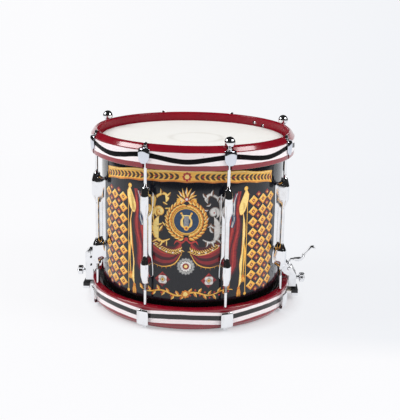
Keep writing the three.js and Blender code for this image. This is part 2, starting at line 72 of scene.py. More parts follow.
# Mesh tools
def mix(a, b, share):
    return a + (b - a) * share


def smoothStep(low, high, value):
    t = min(1, max(0, (value - low) / (high - low)))
    return t * t * (3 - 2 * t)


def meshFrom(name, points, faces):
    mesh = bpy.data.meshes.new(name)
    mesh.from_pydata([tuple(p) for p in points], [], faces)
    mesh.validate()
    return mesh


def faceOut(mesh):
    work = bmesh.new()
    work.from_mesh(mesh)
    bmesh.ops.recalc_face_normals(work, faces=work.faces)
    work.to_mesh(mesh)
    work.free()


def smoothMesh(mesh, angle=32):
    for face in mesh.polygons:
        face.use_smooth = True
    mesh.set_sharp_from_angle(angle=math.radians(angle))


def tubeFaces(rows, sides, closed=False):
    # quads between rings of points; an open tube also gets a face at each end
    faces = []
    for r in range(rows if closed else rows - 1):
        below, above = r * sides, ((r + 1) % rows) * sides
        for i in range(sides):
            j = (i + 1) % sides
            faces.append((below + i, below + j, above + j, above + i))
    if not closed:
        faces.append(tuple(range(sides)))
        faces.append(tuple((rows - 1) * sides + i for i in range(sides)))
    return faces


def turned(name, profile, sides, squareness=None, closed=False):
    # profile: (radius, height) pairs about local Z; squareness(height): how square the section is there
    points = []
    for radius, height in profile:
        share = squareness(height) if squareness else 0
        for i in range(sides):
            a = 2 * math.pi * i / sides
            boost = 1 - share + share / max(abs(math.cos(a)), abs(math.sin(a)))
            points.append((radius * boost * math.cos(a), radius * boost * math.sin(a), height))
    mesh = meshFrom(name, points, tubeFaces(len(profile), sides, closed))
    faceOut(mesh)
    return mesh


def arc(cx, cz, radius, fromTurn, toTurn, steps):
    turns = [math.radians(fromTurn + (toTurn - fromTurn) * i / steps) for i in range(steps + 1)]
    return [(cx + radius * math.cos(t), cz + radius * math.sin(t)) for t in turns]


def blockMesh(name, low, high):
    xs, ys, zs = zip(low, high)
    points = [(x, y, z) for x in xs for y in ys for z in zs]
    faces = [(0, 1, 3, 2), (4, 6, 7, 5), (0, 4, 5, 1), (2, 3, 7, 6), (0, 2, 6, 4), (1, 5, 7, 3)]
    mesh = meshFrom(name, points, faces)
    faceOut(mesh)
    return mesh


toMiddle = Matrix.Translation((0, 0, middleZ))
upsideDown = toMiddle @ Matrix.Scale(-1, 4, (0, 0, 1)) @ toMiddle.inverted()


def turnOver(mesh):
    # the lower hoop, head, claws and rods are made like the upper ones and turned over
    mesh.transform(upsideDown)
    mesh.flip_normals()


def repeated(name, mesh, matrices):
    work = bmesh.new()
    for matrix in matrices:
        part = mesh.copy()
        part.transform(matrix)
        work.from_mesh(part)
        bpy.data.meshes.remove(part)
    made = bpy.data.meshes.new(name)
    work.to_mesh(made)
    work.free()
    return made


def bisect(work, near, at, across):
    geometry = work.verts[:] + work.edges[:] + work.faces[:]
    bmesh.ops.bisect_plane(work, geom=geometry, dist=near, plane_co=at, plane_no=across)


def applied(obj):
    # applies the object's modifiers and returns its new mesh
    graph = bpy.context.evaluated_depsgraph_get()
    mesh = bpy.data.meshes.new_from_object(obj.evaluated_get(graph))
    obj.modifiers.clear()
    obj.data = mesh
    return mesh


def cutAway(obj, cutter):
    bpy.context.collection.objects.link(cutter)
    modifier = obj.modifiers.new("cut", "BOOLEAN")
    modifier.operation = "DIFFERENCE"
    modifier.solver = "EXACT"
    modifier.object = cutter
    applied(obj)
    bpy.data.objects.remove(cutter)


def addPiece(name, mesh, finish, body, slotName, *nodes, matrix=None):
    piece = bpy.data.objects.new(name, mesh)
    bpy.context.collection.objects.link(piece)
    if matrix is not None:
        piece.matrix_world = matrix
    if not mesh.materials:
        mesh.materials.append(finish)
    bpy.context.view_layer.update()
    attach(piece, body)
    if nodes:
        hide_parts(*nodes)
    return piece


# Finish tools
def newFinish(name, look):
    finish = bpy.data.materials.new(name)
    finish.use_nodes = True
    tree = finish.node_tree
    shader = tree.nodes["Principled BSDF"]
    for socket, value in look.items():
        shader.inputs[socket].default_value = value
    return finish, tree, shader


def addNode(tree, kind, inputs, **settings):
    node = tree.nodes.new(kind)
    for key, value in settings.items():
        setattr(node, key, value)
    for key, value in inputs.items():
        if isinstance(value, bpy.types.NodeSocket):
            tree.links.new(value, node.inputs[key])
        else:
            node.inputs[key].default_value = value
    return node


def sums(tree, operation, *values):
    return addNode(tree, "ShaderNodeMath", dict(enumerate(values)), operation=operation).outputs[0]


def noiseOf(tree, where, scale, detail=3, roughness=0.5):
    inputs = {"Vector": where, "Scale": scale, "Detail": detail, "Roughness": roughness}
    return addNode(tree, "ShaderNodeTexNoise", inputs).outputs["Fac"]


def blended(tree, factor, first, second):
    # a Mix node's colours are its inputs 6 and 7 and its output 2
    one, two = (c if isinstance(c, bpy.types.NodeSocket) else (*c, 1) for c in (first, second))
    return addNode(tree, "ShaderNodeMix", {0: factor, 6: one, 7: two}, data_type="RGBA").outputs[2]


def ranged(tree, value, fromLow, fromHigh, toLow, toHigh):
    inputs = {"Value": value, "From Min": fromLow, "From Max": fromHigh}
    inputs.update({"To Min": toLow, "To Max": toHigh})
    return addNode(tree, "ShaderNodeMapRange", inputs, clamp=True).outputs[0]


def bumped(tree, shader, height, strength, deep):
    node = addNode(tree, "ShaderNodeBump", {"Height": height, "Strength": strength, "Distance": deep})
    tree.links.new(node.outputs[0], shader.inputs["Normal"])


def objectPlace(tree):
    return addNode(tree, "ShaderNodeTexCoord", {}).outputs["Object"]


def splitAxes(tree, place):
    return addNode(tree, "ShaderNodeSeparateXYZ", {"Vector": place}).outputs


def stretched(tree, place, scale, turn=(0, 0, 0)):
    inputs = {"Vector": place, "Scale": scale, "Rotation": turn}
    return addNode(tree, "ShaderNodeMapping", inputs).outputs[0]


def radiusOf(tree, x, y):
    squares = [sums(tree, "MULTIPLY", v, v) for v in (x, y)]
    return sums(tree, "SQRT", sums(tree, "ADD", *squares))


# Chrome: bright plate with a little haze in patches, a duller tint where hazed, and fine pits
chrome = {
    "look": {"Base Color": (0.9, 0.91, 0.93, 1), "Metallic": 1.0, "Roughness": 0.06},
    "tones": ((0.87, 0.88, 0.9), (0.72, 0.72, 0.73)),  # clear, hazed
    "clawShadedTones": ((0.71, 0.74, 0.81), (0.6, 0.62, 0.67)),  # the upper claws' chrome is tinted darker and bluer, as painted shade and painted reflection
    "roughness": (0.045, 0.16),
    "hazeScale": 38.0,
    "pitScale": 900.0,
    "pitStrength": 0.05,
}


def makeChrome(name, tones):
    finish, tree, shader = newFinish(name, chrome["look"])
    place = objectPlace(tree)
    haze = noiseOf(tree, place, chrome["hazeScale"], 4, 0.6)
    pits = noiseOf(tree, place, chrome["pitScale"], 2)
    tree.links.new(ranged(tree, haze, 0.4, 0.75, *chrome["roughness"]), shader.inputs["Roughness"])
    tint = blended(tree, ranged(tree, haze, 0.45, 0.8, 0, 1), *tones)
    tree.links.new(tint, shader.inputs["Base Color"])
    bumped(tree, shader, pits, chrome["pitStrength"], 0.2 * mm)
    return finish


# Bright steel for the wires and the flesh hoops, with fine lines along the drawing
steel = {
    "look": {"Base Color": (0.5, 0.5, 0.5, 1), "Metallic": 1.0, "Roughness": 0.3},
    "tones": ((0.42, 0.42, 0.43), (0.62, 0.62, 0.62)),
    "roughness": (0.22, 0.42),
    "streaks": (40, 900, 900),
    "relief": 0.1,
}


def makeSteel():
    finish, tree, shader = newFinish("drawn_steel", steel["look"])
    grain = noiseOf(tree, stretched(tree, objectPlace(tree), steel["streaks"]), 1.0, 3)
    tree.links.new(ranged(tree, grain, 0.3, 0.7, *steel["roughness"]), shader.inputs["Roughness"])
    tree.links.new(blended(tree, grain, *steel["tones"]), shader.inputs["Base Color"])
    bumped(tree, shader, grain, steel["relief"], 0.2 * mm)
    return finish


# Blackened steel, worn to a warmer grey in specks
blackSteel = {
    "look": {"Base Color": (0.02, 0.02, 0.022, 1), "Metallic": 0.0, "Roughness": 0.4},
    "tones": ((0.016, 0.016, 0.018), (0.09, 0.085, 0.08)),
    "roughness": (0.3, 0.55),
    "grainScale": 240,
    "wornFrom": 0.6,
    "relief": 0.25,
}


def makeBlackened():
    finish, tree, shader = newFinish("blackened_steel", blackSteel["look"])
    grain = noiseOf(tree, objectPlace(tree), blackSteel["grainScale"], 4, 0.65)
    worn = ranged(tree, grain, blackSteel["wornFrom"], blackSteel["wornFrom"] + 0.12, 0, 1)
    tree.links.new(blended(tree, worn, *blackSteel["tones"]), shader.inputs["Base Color"])
    tree.links.new(ranged(tree, grain, 0.3, 0.7, *blackSteel["roughness"]), shader.inputs["Roughness"])
    bumped(tree, shader, grain, blackSteel["relief"], 0.3 * mm)
    return finish


# Strap: woven tape, soiled in patches
strap = {
    "look": {"Base Color": (0.7, 0.66, 0.55, 1), "Roughness": 0.85},
    "tones": ((0.62, 0.58, 0.47), (0.76, 0.72, 0.61)),
    "soil": (0.4, 0.36, 0.28),
    "weaveScale": 1400.0,
    "soilScale": 600,
    "relief": 0.4,
}


def makeStrap():
    finish, tree, shader = newFinish("woven_tape", strap["look"])
    place = objectPlace(tree)
    checks = {"Vector": place, "Scale": strap["weaveScale"]}
    weave = addNode(tree, "ShaderNodeTexChecker", checks).outputs["Fac"]
    soiled = ranged(tree, noiseOf(tree, place, strap["soilScale"], 3), 0.4, 0.7, 0, 0.5)
    tone = blended(tree, soiled, blended(tree, weave, *strap["tones"]), strap["soil"])
    tree.links.new(tone, shader.inputs["Base Color"])
    bumped(tree, shader, weave, strap["relief"], 0.2 * mm)
    return finish


# Bare ply: fine layers, for the rings inside the shell
ply = {
    "look": {"Base Color": (0.55, 0.38, 0.22, 1), "Roughness": 0.6},
    "tones": ((0.36, 0.22, 0.11), (0.66, 0.48, 0.29)),
    "layers": (60, 60, 900),
    "relief": 0.15,
}


def makePly():
    finish, tree, shader = newFinish("bare_ply", ply["look"])
    grain = noiseOf(tree, stretched(tree, objectPlace(tree), ply["layers"]), 1.0, 5, 0.6)
    tree.links.new(blended(tree, grain, *ply["tones"]), shader.inputs["Base Color"])
    bumped(tree, shader, grain, ply["relief"], 0.4 * mm)
    return finish


# Head: coated film, a little mottled, with the worn ring that the sticks leave
headFilm = {
    "look": {"Base Color": (0.86, 0.85, 0.81, 1), "Roughness": 0.5, "Specular IOR Level": 0.4},
    "tones": ((0.89, 0.885, 0.86), (0.86, 0.85, 0.81)),
    "wornTone": (0.6, 0.57, 0.51),
    "roughness": (0.42, 0.6),
    "speckleScale": 700,
    "mottleScale": 9,
    "relief": 0.12,
    "ringX": 8 * mm,
    "ringY": -20 * mm,
    "ringRadius": 50 * mm,
    "ringWidth": 9 * mm,
    "ringShare": 0.45,
}


def makeHeadFilm():
    finish, tree, shader = newFinish("coated_film", headFilm["look"])
    place = objectPlace(tree)
    speckle = noiseOf(tree, place, headFilm["speckleScale"], 3)
    mottle = noiseOf(tree, place, headFilm["mottleScale"], 4, 0.6)
    x, y, z = splitAxes(tree, place)
    dx = sums(tree, "SUBTRACT", x, drumX + headFilm["ringX"])
    dy = sums(tree, "SUBTRACT", y, headFilm["ringY"])
    away = sums(tree, "SUBTRACT", radiusOf(tree, dx, dy), headFilm["ringRadius"])
    ring = ranged(tree, sums(tree, "ABSOLUTE", away), 0, headFilm["ringWidth"], headFilm["ringShare"], 0)
    worn = sums(tree, "MULTIPLY", ring, ranged(tree, mottle, 0.35, 0.6, 0.2, 1))
    base = blended(tree, ranged(tree, mottle, 0.3, 0.7, 0, 1), *headFilm["tones"])
    tree.links.new(blended(tree, worn, base, headFilm["wornTone"]), shader.inputs["Base Color"])
    tree.links.new(ranged(tree, speckle, 0.3, 0.7, *headFilm["roughness"]), shader.inputs["Roughness"])
    bumped(tree, shader, speckle, headFilm["relief"], 0.2 * mm)
    return finish


# Hoops: crimson lacquer, a white band, and a black line in it that waves from claw to claw
hoopPaint = {
    "crimson": ((0.27, 0.003, 0.014), (0.2, 0.003, 0.013)),  # fresh, aged
    "white": ((0.95, 0.87, 0.885), (0.9, 0.81, 0.825)),
    "black": (0.006, 0.005, 0.006),
    "bareWood": (0.16, 0.07, 0.035),
    "edgeSoftness": 0.25 * mm,
    "handWobble": 0.5 * mm,
    "paintedFrom": 3 * mm,  # in from the outer face, where the bands end
    "lipFrom": 12.5 * mm,  # in from the outer face, where the lacquer is duller
    "lipCoat": 0.25,
    "roughness": (0.16, 0.42),
    "relief": 0.3,
    "wobbleScale": 30,
    "ageScale": 14,
    "chipScale": 260,
    "chipPatches": 26,
    "scuffScale": 60,
    "reliefScale": 120,
}
# heights in mm above the floor; cusp: the line and its white band come to a point at each claw
upperBands = {
    "white": (312.8, 335.0),
    "line": (315.4, 324.4),
    "rise": 7.6,
    "cusp": False,
    "lineCoat": 0.06,
}
lowerBands = {
    "white": (11.8, 35.8),
    "line": (20.4, 29.8),
    "rise": 4.6,
    "cusp": True,
    "lineCoat": 0.8,
}


def makeHoopLacquer(name, bands):
    look = {
        "Base Color": (*hoopPaint["crimson"][0], 1),
        "Roughness": 0.4,
        "Specular IOR Level": 0.05,
        "Coat Weight": 0.85,
        "Coat Roughness": 0.12,
        "Coat IOR": 1.66,
    }
    finish, tree, shader = newFinish(name, look)
    place = objectPlace(tree)
    fromX, fromY, z = splitAxes(tree, place)
    x = sums(tree, "SUBTRACT", fromX, drumX)
    y = sums(tree, "MULTIPLY", fromY, -1)
    turn = sums(tree, "ARCTAN2", x, y)
    spans = sums(tree, "DIVIDE", sums(tree, "SUBTRACT", turn, firstStation), stationStep)
    hand = hoopPaint["handWobble"]
    wobble = ranged(tree, noiseOf(tree, place, hoopPaint["wobbleScale"], 2), 0.2, 0.8, -hand, hand)
    height = sums(tree, "ADD", z, wobble)
    if bands["cusp"]:
        # bows up between the claws, with a point at each claw
        bow = sums(tree, "ABSOLUTE", sums(tree, "SINE", sums(tree, "MULTIPLY", spans, math.pi)))
        lift = sums(tree, "MULTIPLY", bow, bands["rise"] * mm)
    else:
        # highest at the claws, lowest half way between them
        swing = sums(tree, "COSINE", sums(tree, "MULTIPLY", spans, 2 * math.pi))
        lift = ranged(tree, swing, -1, 1, 0, bands["rise"] * mm)
    across = radiusOf(tree, x, y)
    bandsEnd = hoopRadius - hoopPaint["paintedFrom"]
    outside = ranged(tree, across, bandsEnd, bandsEnd + 1 * mm, 0, 1)
    soft = hoopPaint["edgeSoftness"]

    def band(at, low, high):
        over = ranged(tree, at, low * mm - soft, low * mm + soft, 0, 1)
        under = ranged(tree, at, high * mm - soft, high * mm + soft, 1, 0)
        return sums(tree, "MULTIPLY", sums(tree, "MULTIPLY", over, under), outside)

    lifted = sums(tree, "SUBTRACT", height, lift)
    white = band(lifted if bands["cusp"] else height, *bands["white"])
    line = band(lifted, *bands["line"])
    age = noiseOf(tree, place, hoopPaint["ageScale"], 4, 0.6)
    crimson = blended(tree, ranged(tree, age, 0.3, 0.7, 0, 1), *hoopPaint["crimson"])
    agedWhite = blended(tree, ranged(tree, age, 0.45, 0.75, 0, 1), *hoopPaint["white"])
    colour = blended(tree, line, blended(tree, white, crimson, agedWhite), hoopPaint["black"])
    specks = ranged(tree, noiseOf(tree, place, hoopPaint["chipScale"], 3, 0.7), 0.68, 0.7, 0, 1)
    patches = ranged(tree, noiseOf(tree, place, hoopPaint["chipPatches"], 2), 0.55, 0.6, 0, 1)
    chips = sums(tree, "MULTIPLY", specks, patches)
    tree.links.new(blended(tree, chips, colour, hoopPaint["bareWood"]), shader.inputs["Base Color"])
    # the black line is a duller paint than the lacquer round it, and so is the hoop's inner lip
    lipEnd = hoopRadius - hoopPaint["lipFrom"]
    lipCoat = ranged(tree, across, lipEnd, lipEnd + 1.5 * mm, hoopPaint["lipCoat"], 1)
    coat = sums(tree, "MULTIPLY", ranged(tree, line, 0, 1, 1, bands["lineCoat"]), lipCoat)
    tree.links.new(coat, shader.inputs["Coat Weight"])
    scuff = noiseOf(tree, place, hoopPaint["scuffScale"], 5, 0.7)
    tree.links.new(ranged(tree, scuff, 0.35, 0.75, *hoopPaint["roughness"]), shader.inputs["Roughness"])
    relief = ranged(tree, noiseOf(tree, place, hoopPaint["reliefScale"], 3), 0, 1, 0, 0.25)
    bumped(tree, shader, sums(tree, "SUBTRACT", relief, chips), hoopPaint["relief"], 0.3 * mm)
    return finish


# Shell: black-slate paint under thick varnish, with a painted shade band at its lower edge, just above
# the lower hoop
shellPaint = {
    "ground": ((0.005, 0.006, 0.011), (0.008, 0.009, 0.014)),
    # the colour of the painted shade band at the shell's foot
    "line": (0.003, 0.003, 0.003),
    "shadeBandTop": 52.5 * mm,
    "shadeBandSoftness": 0.4 * mm,
    "roughness": (0.2, 0.42),
    "scratches": (260, 260, 30),
    "cloudScale": 16,
    "peelScale": 90,
    "relief": 0.05,
}


def makeShellVarnish():
    look = {
        "Base Color": (*shellPaint["ground"][0], 1),
        "Roughness": 0.4,
        "Specular IOR Level": 0.1,
        "Coat Weight": 1.0,
        "Coat Roughness": 0.06,
        "Coat IOR": 1.42,
    }
    finish, tree, shader = newFinish("shell_varnish", look)
    place = objectPlace(tree)
    x, y, z = splitAxes(tree, place)
    cloud = noiseOf(tree, place, shellPaint["cloudScale"], 5, 0.6)
    ground = blended(tree, ranged(tree, cloud, 0.3, 0.7, 0, 1), *shellPaint["ground"])
    # painted shade: the shell's paint is darker along its foot, for the shadow just above the lower hoop
    shadeBandTop = shellPaint["shadeBandTop"]
    edge = ranged(tree, z, shadeBandTop, shadeBandTop + shellPaint["shadeBandSoftness"], 1, 0)
    tree.links.new(blended(tree, edge, ground, shellPaint["line"]), shader.inputs["Base Color"])
    fine = noiseOf(tree, stretched(tree, place, shellPaint["scratches"]), 1.0, 4, 0.7)
    tree.links.new(ranged(tree, fine, 0.4, 0.75, *shellPaint["roughness"]), shader.inputs["Roughness"])
    peel = noiseOf(tree, place, shellPaint["peelScale"], 3)
    bumped(tree, shader, peel, shellPaint["relief"], 0.4 * mm)
    return finish


finishes = {
    "chrome_plate": makeChrome("chrome_plate", chrome["tones"]),
    "steel": makeSteel(),
    "blackened_steel": makeBlackened(),
    "strap": makeStrap(),
    "bare_ply": makePly(),
    "drum_skin": makeHeadFilm(),
    "shell_paint": makeShellVarnish(),
    "hoop_lacquer": makeHoopLacquer("hoop_lacquer_upper", upperBands),
}
# painted shade and painted reflection: the upper claws get a darker, bluer chrome
shadedClawChrome = makeChrome("chrome_plate_claws_shaded", chrome["clawShadedTones"])
lowerLacquer = makeHoopLacquer("hoop_lacquer_lower", lowerBands)
print("finishes made")

# Every CAD node starts with its slot's finish
slotOfNode = {row["node"]: row["material_slot"] for row in frame["record"]["subparts"]}
for nodeName, node in cadNodes.items():
    for slot in node.material_slots:
        slot.material = finishes[slotOfNode[nodeName]]

# The upper head and the shell's upper edge stand a little higher than the solids
headLift = 2.8 * mm

# Shell: a plain tube with rounded outer edges
shellShape = {"wall": 6 * mm, "edgeRound": 1.2 * mm}


def makeShell():
    inner = shellRadius - shellShape["wall"]
    r = shellShape["edgeRound"]
    low, high = shellLow.z, shellHigh.z + headLift
    profile = [
        (inner, low),
        *arc(shellRadius - r, low + r, r, -90, 0, 4),
        *arc(shellRadius - r, high - r, r, 0, 90, 4),
        (inner, high),
    ]
    mesh = turned("drum_shell", profile, roundSides, closed=True)
    mesh.transform(toDrum)
    smoothMesh(mesh)
    addPiece("drum_shell", mesh, finishes["shell_paint"], "drum", "shell_paint", "shell")


makeShell()

# Hoops: bent wood with a rebate for the head, notches for the claws, slots for the rods and snare gates
hoopShape = {
    "inner": 185 * mm,
    "rebate": 187.2 * mm,
    "ledgeDrop": 22.5 * mm,
    "topRound": 3.2 * mm,
    "footRound": 2.6 * mm,
    "bevelDrop": 8.0 * mm,
    "bevelEnd": 1.5 * mm,
    "bevelIn": 4.5 * mm,
    "bevelShares": (0, 0.08, 0.5, 0.92, 1),
    "bevelSoft": (0.3 * mm, 0.6 * mm),  # the short easing below and above the bevel
    "lipRise": 1.7 * mm,
    "lipFrom": 46,  # degrees, where the inner round starts
    "belly": 0.7 * mm,
    "bellyAt": 313 * mm,
    "bellyHalf": 21 * mm,
    "notchInner": 186.8 * mm,
    "notchHalf": 6.3 * mm,
    "notchDrop": 8.7 * mm,
    "slotHalf": 3.5 * mm,
    "rodCircle": 193 * mm,
    "gateHalf": 20 * mm,
    "gateLow": 10.9 * mm,
    "gateHigh": 22.9 * mm,
    "past": 3 * mm,  # how far a cutter runs past the wood
}


def hoopMesh(name, lower):
    s = hoopShape
    top, foot = upperHigh.z, upperLow.z

    def face(z):  # the outer face bulges a little
        return hoopRadius - s["belly"] * ((z - s["bellyAt"]) / s["bellyHalf"]) ** 2

    under, over = s["bevelSoft"]
    low = foot + s["footRound"]
    high = top - s["bevelDrop"] - under
    outer = [(face(z), z) for z in (low + (high - low) * i / 10 for i in range(11))]
    inward, drop, end = s["bevelIn"], s["bevelDrop"], s["bevelEnd"]
    bevel = [(face(high) - inward * share, top - mix(drop, end, share)) for share in s["bevelShares"]]
    bevel.append((face(high) - inward - over, top - end / 2))
    lip = top + (0 if lower else s["lipRise"])
    lipRound = s["topRound"]
    profile = [
        *arc(face(low) - s["footRound"], low, s["footRound"], -90, -6, 5),
        *outer,
        *bevel,
        *arc(s["inner"] + lipRound, lip - lipRound, lipRound, 90 if lower else s["lipFrom"], 180, 10),
        (s["inner"], top - s["ledgeDrop"]),
        (s["rebate"], top - s["ledgeDrop"]),
        (s["rebate"], foot),
    ]
    return turned(name, profile, roundSides, closed=True)


def stationCutters(openSlots):
    # at each station a notch in the hoop's edge and, under it, a slot for the rod
    s = hoopShape
    past = hoopRadius + s["past"]
    top, foot = upperHigh.z + s["past"], upperLow.z - s["past"]
    notchFloor = upperHigh.z - s["notchDrop"]
    half = s["notchHalf"]
    notch = blockMesh("notch", (s["notchInner"], -half, notchFloor), (past, half, top))
    half = s["slotHalf"]
    slotEnd = past if openSlots else s["rodCircle"] + half
    slotTop = notchFloor + s["past"] / 2
    slot = blockMesh("slot", (s["rodCircle"] - half, -half, foot), (slotEnd, half, slotTop))
    turns = [stationTurn(k) for k in range(stationCount)]
    return [repeated("notches", notch, turns), repeated("slots", slot, turns)]


def makeHoop(name, nodeName, finish, lower):
    s = hoopShape
    mesh = hoopMesh(name, lower)
    cutters = stationCutters(not lower)
    if lower:
        for part in (mesh, *cutters):
            turnOver(part)
        reach = hoopRadius + s["past"]
        low, high = (-reach, -s["gateHalf"], s["gateLow"]), (reach, s["gateHalf"], s["gateHigh"])
        cutters.append(blockMesh("gates", low, high))
    mesh.transform(toDrum)
    piece = addPiece(name, mesh, finish, "drum", "hoop_lacquer", nodeName)
    for cutter in cutters:
        cutter.transform(toDrum)
        cutAway(piece, bpy.data.objects.new("cutter", cutter))
    smoothMesh(piece.data)


makeHoop("upper_hoop", "top_counterhoop", finishes["hoop_lacquer"], False)
makeHoop("lower_hoop", "bottom_counterhoop", lowerLacquer, True)
print("shell and hoops made")

# Two small screws in the upper hoop's inner wall: a bright head beside a dark disc, painted shade for
# the hollow it sinks into
wallScrews = {
    "spots": ((139.0, 334.6), (131.6, 331.2)),  # degrees from the front, mm above the floor
    # finish, place aside, and a profile of radius and height, in mm
    # a thin blackened disc as painted shade in the screw's countersunk hollow
    "shade_ring": ("blackened_steel", 0, [(0.1, -0.1), (3.8, -0.1), (4.0, 0.2)]),
    "head": ("chrome_plate", -1.8, [(0.1, -0.9), (1.6, -0.8), (2.5, -0.5), (3.0, -0.1)]),
}
for n, (degrees, height) in enumerate(wallScrews["spots"], 1):
    turn = math.radians(degrees)
    outwards, up = Vector((math.sin(turn), -math.cos(turn), 0)), Vector((0, 0, 1))
    place = Matrix((outwards, up.cross(outwards), up)).transposed().to_4x4()
    place.translation = Vector((drumX, 0, height * mm)) + outwards * hoopShape["inner"]
    outFacing = Matrix.Rotation(math.pi / 2, 4, "Y")
    for part in ("shade_ring", "head"):
        finish, aside, profile = wallScrews[part]
        mesh = turned("screw_" + part, [(r * mm, z * mm) for r, z in profile], 40)
        smoothMesh(mesh, 40)
        spot = place @ Matrix.Translation((0, aside * mm, 0)) @ outFacing
        addPiece(f"hoop_screw_{part}_{n}", mesh, finishes[finish], "drum", finish, matrix=spot)

# Heads: a film that rolls over the shell's edge and down to its flesh hoop
headShape = {
    "centre": 1 * mm,
    "flat": 171 * mm,
    "rollDrop": 1.2 * mm,
    "rollOut": 178.6 * mm,
    "lipOut": 186.6 * mm,
    "lipZ": 321.9 * mm,
    "film": 0.55 * mm,
}


def makeHead(name, nodeName, lower):
    s = headShape
    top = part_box("batter_head")[1].z + (0 if lower else headLift)
    under = top - s["film"]
    rollOut, lipZ = s["rollOut"], s["lipZ"]
    profile = [
        (s["centre"], top),
        (60 * mm, top),
        (120 * mm, top),
        (s["flat"], top),
        (s["flat"] + 4 * mm, top - s["rollDrop"] * 0.25),
        (rollOut - 0.8 * mm, top - s["rollDrop"]),
        (rollOut + 0.5 * mm, top - s["rollDrop"] - 1.6 * mm),
        (rollOut + 0.9 * mm, lipZ + 1.2 * mm),
        (rollOut + 1.6 * mm, lipZ + 0.6 * mm),
        (s["lipOut"], lipZ + s["film"]),
        (s["lipOut"], lipZ),
        (rollOut + 0.4 * mm, lipZ),
        (rollOut, lipZ + 1.5 * mm),
        (rollOut - 0.4 * mm, under - s["rollDrop"] * 0.2),
        (s["flat"], under),
        (s["centre"], under),
    ]
    mesh = turned(name, profile, roundSides // 2)
    if lower:
        turnOver(mesh)
    mesh.transform(toDrum)
    smoothMesh(mesh, 50)
    addPiece(name, mesh, finishes["drum_skin"], "drum", "drum_skin", nodeName)


makeHead("batter_film", "batter_head", False)
makeHead("snare_film", "snare_head", True)
print("heads made")

# Lugs: two fluted bulbs on flared flanges, and between them a slim tube on a thin web
lugShape = {
    "ridgeHalf": 4.1 * mm,
    "webHalf": 1.3 * mm,
    "footHalf": 6.0 * mm,
    "ridgeReach": 18.6 * mm,
    "bulbHalf": 8.2 * mm,
    "bulbReach": 25 * mm,
    "tipHalf": 6.7 * mm,
    "tipReach": 20.5 * mm,
    "bossHalf": 6.4 * mm,
    "bossReach": 15 * mm,
    "flareHalf": 9.2 * mm,
    "rim": 0.9 * mm,
    "flange": 2.0 * mm,
    "fluteDepth": 1.6 * mm,
    "fluteTurn": 0.9,
    "fluteWidth": 0.16,
    "crownSteps": 40,
    "rows": 120,
    "seat": 0.3 * mm,
    "endInset": 0.07,
    "shoulderEase": 0.4,
    "fallCurve": 0.2,
    "evenRows": 0.8,
    "lowerShare": 0.93,  # the lower half is a little shorter
}
# where each form starts and is full, as shares of the half length from the middle
lugSpans = {
    "shoulder": (0.38, 0.56),
    "tip": (0.76, 1.0),
    "fall": (0.83, 1.0),
    "flare": (0.34, 0.74),
    "fluteIn": (0.34, 0.44),
    "fluteOut": (0.5, 0.9),
    "web": (0.34, 0.52),
    "boss": (0.85, 0.95),
    "end": (0.992, 1.0),
}


def lugRow(along):
    # half width, reach, flange and flute at a share of the half length from the middle
    s = lugShape
    start, full = lugSpans["shoulder"]
    shoulder = (along - start) / (full - start)
    shoulder = mix(min(1, max(0, shoulder)), smoothStep(0, 1, shoulder), s["shoulderEase"])
    half = mix(s["ridgeHalf"], s["bulbHalf"], shoulder)
    half = mix(half, s["tipHalf"], smoothStep(*lugSpans["tip"], along))
    start, full = lugSpans["fall"]
    fall = max(0, (along - start) / (full - start))
    reach = mix(s["ridgeReach"], s["bulbReach"], shoulder)
    reach = mix(reach, s["tipReach"], s["fallCurve"] * fall ** 2 + (1 - s["fallCurve"]) * fall)
    flange = mix(s["footHalf"], s["flareHalf"], smoothStep(*lugSpans["flare"], along))
    flute = s["fluteDepth"] * smoothStep(*lugSpans["fluteIn"], along)
    flute *= 1 - smoothStep(*lugSpans["fluteOut"], along)
    return half, reach, flange, flute


def lugOutline(along):
    # one cross section from the foot to the crown, as (across, outwards)
    s = lugShape
    half, reach, flange, flute = lugRow(along)
    rimIn = flange - s["rim"]
    base = s["seat"] + s["flange"]
    top = reach - half
    # between the bulbs: a round foot, a thin web and a tube
    foot, web = s["footHalf"], s["webHalf"]
    turns = [math.radians(a) for a in (0, 18, 34, 50, 63, 74)]
    waist = [(foot * math.cos(a), s["seat"] + foot * math.sin(a)) for a in turns]
    waist += [(web, foot + 1.6 * mm), (web, top - 1.02 * half), (0.7 * half, top - 0.71 * half)]
    # at the bulbs: a thin rim, a cove and straight flanks
    bulb = [
        (flange, s["seat"]),
        (flange, base - 0.7 * mm),
        (flange - 0.3 * mm, base - 0.1 * mm),
        (rimIn, base + 0.1 * mm),
        (mix(rimIn, half, 0.7), base + 1.6 * mm),
        (mix(rimIn, half, 0.9), mix(base, top, 0.25)),
        (mix(rimIn, half, 0.96), mix(base, top, 0.4)),
        (half, mix(base, top, 0.6)),
        (half, mix(base, top, 0.82)),
    ]
    filled = smoothStep(*lugSpans["web"], along)
    side = [(mix(a, c, filled), mix(b, d, filled)) for (a, b), (c, d) in zip(waist, bulb)]
    crown = []
    for i in range(s["crownSteps"] + 1):
        a = math.pi * i / s["crownSteps"]
        off = (abs(a - math.pi / 2) - s["fluteTurn"]) / s["fluteWidth"]
        radius = half - flute * math.exp(-off * off)
        crown.append((radius * math.cos(a), top + radius * math.sin(a)))
    # near the tips the foot ends and a round boss holds the rod
    lifted = smoothStep(*lugSpans["boss"], along)
    outline = []
    for i, (across, out) in enumerate(side):
        turn = math.radians(-86 + 80 * i / (len(side) - 1))
        boss = (s["bossHalf"] * math.cos(turn), s["bossReach"] + s["bossHalf"] * math.sin(turn))
        outline.append((mix(across, boss[0], lifted), mix(out, boss[1], lifted)))
    outline += crown + [(-y, x) for y, x in reversed(outline)]
    start, full = lugSpans["end"]
    inset = 1 - s["endInset"] * max(0, (along - start) / (full - start))
    return [(y * inset, s["bossReach"] + (x - s["bossReach"]) * inset) for y, x in outline]


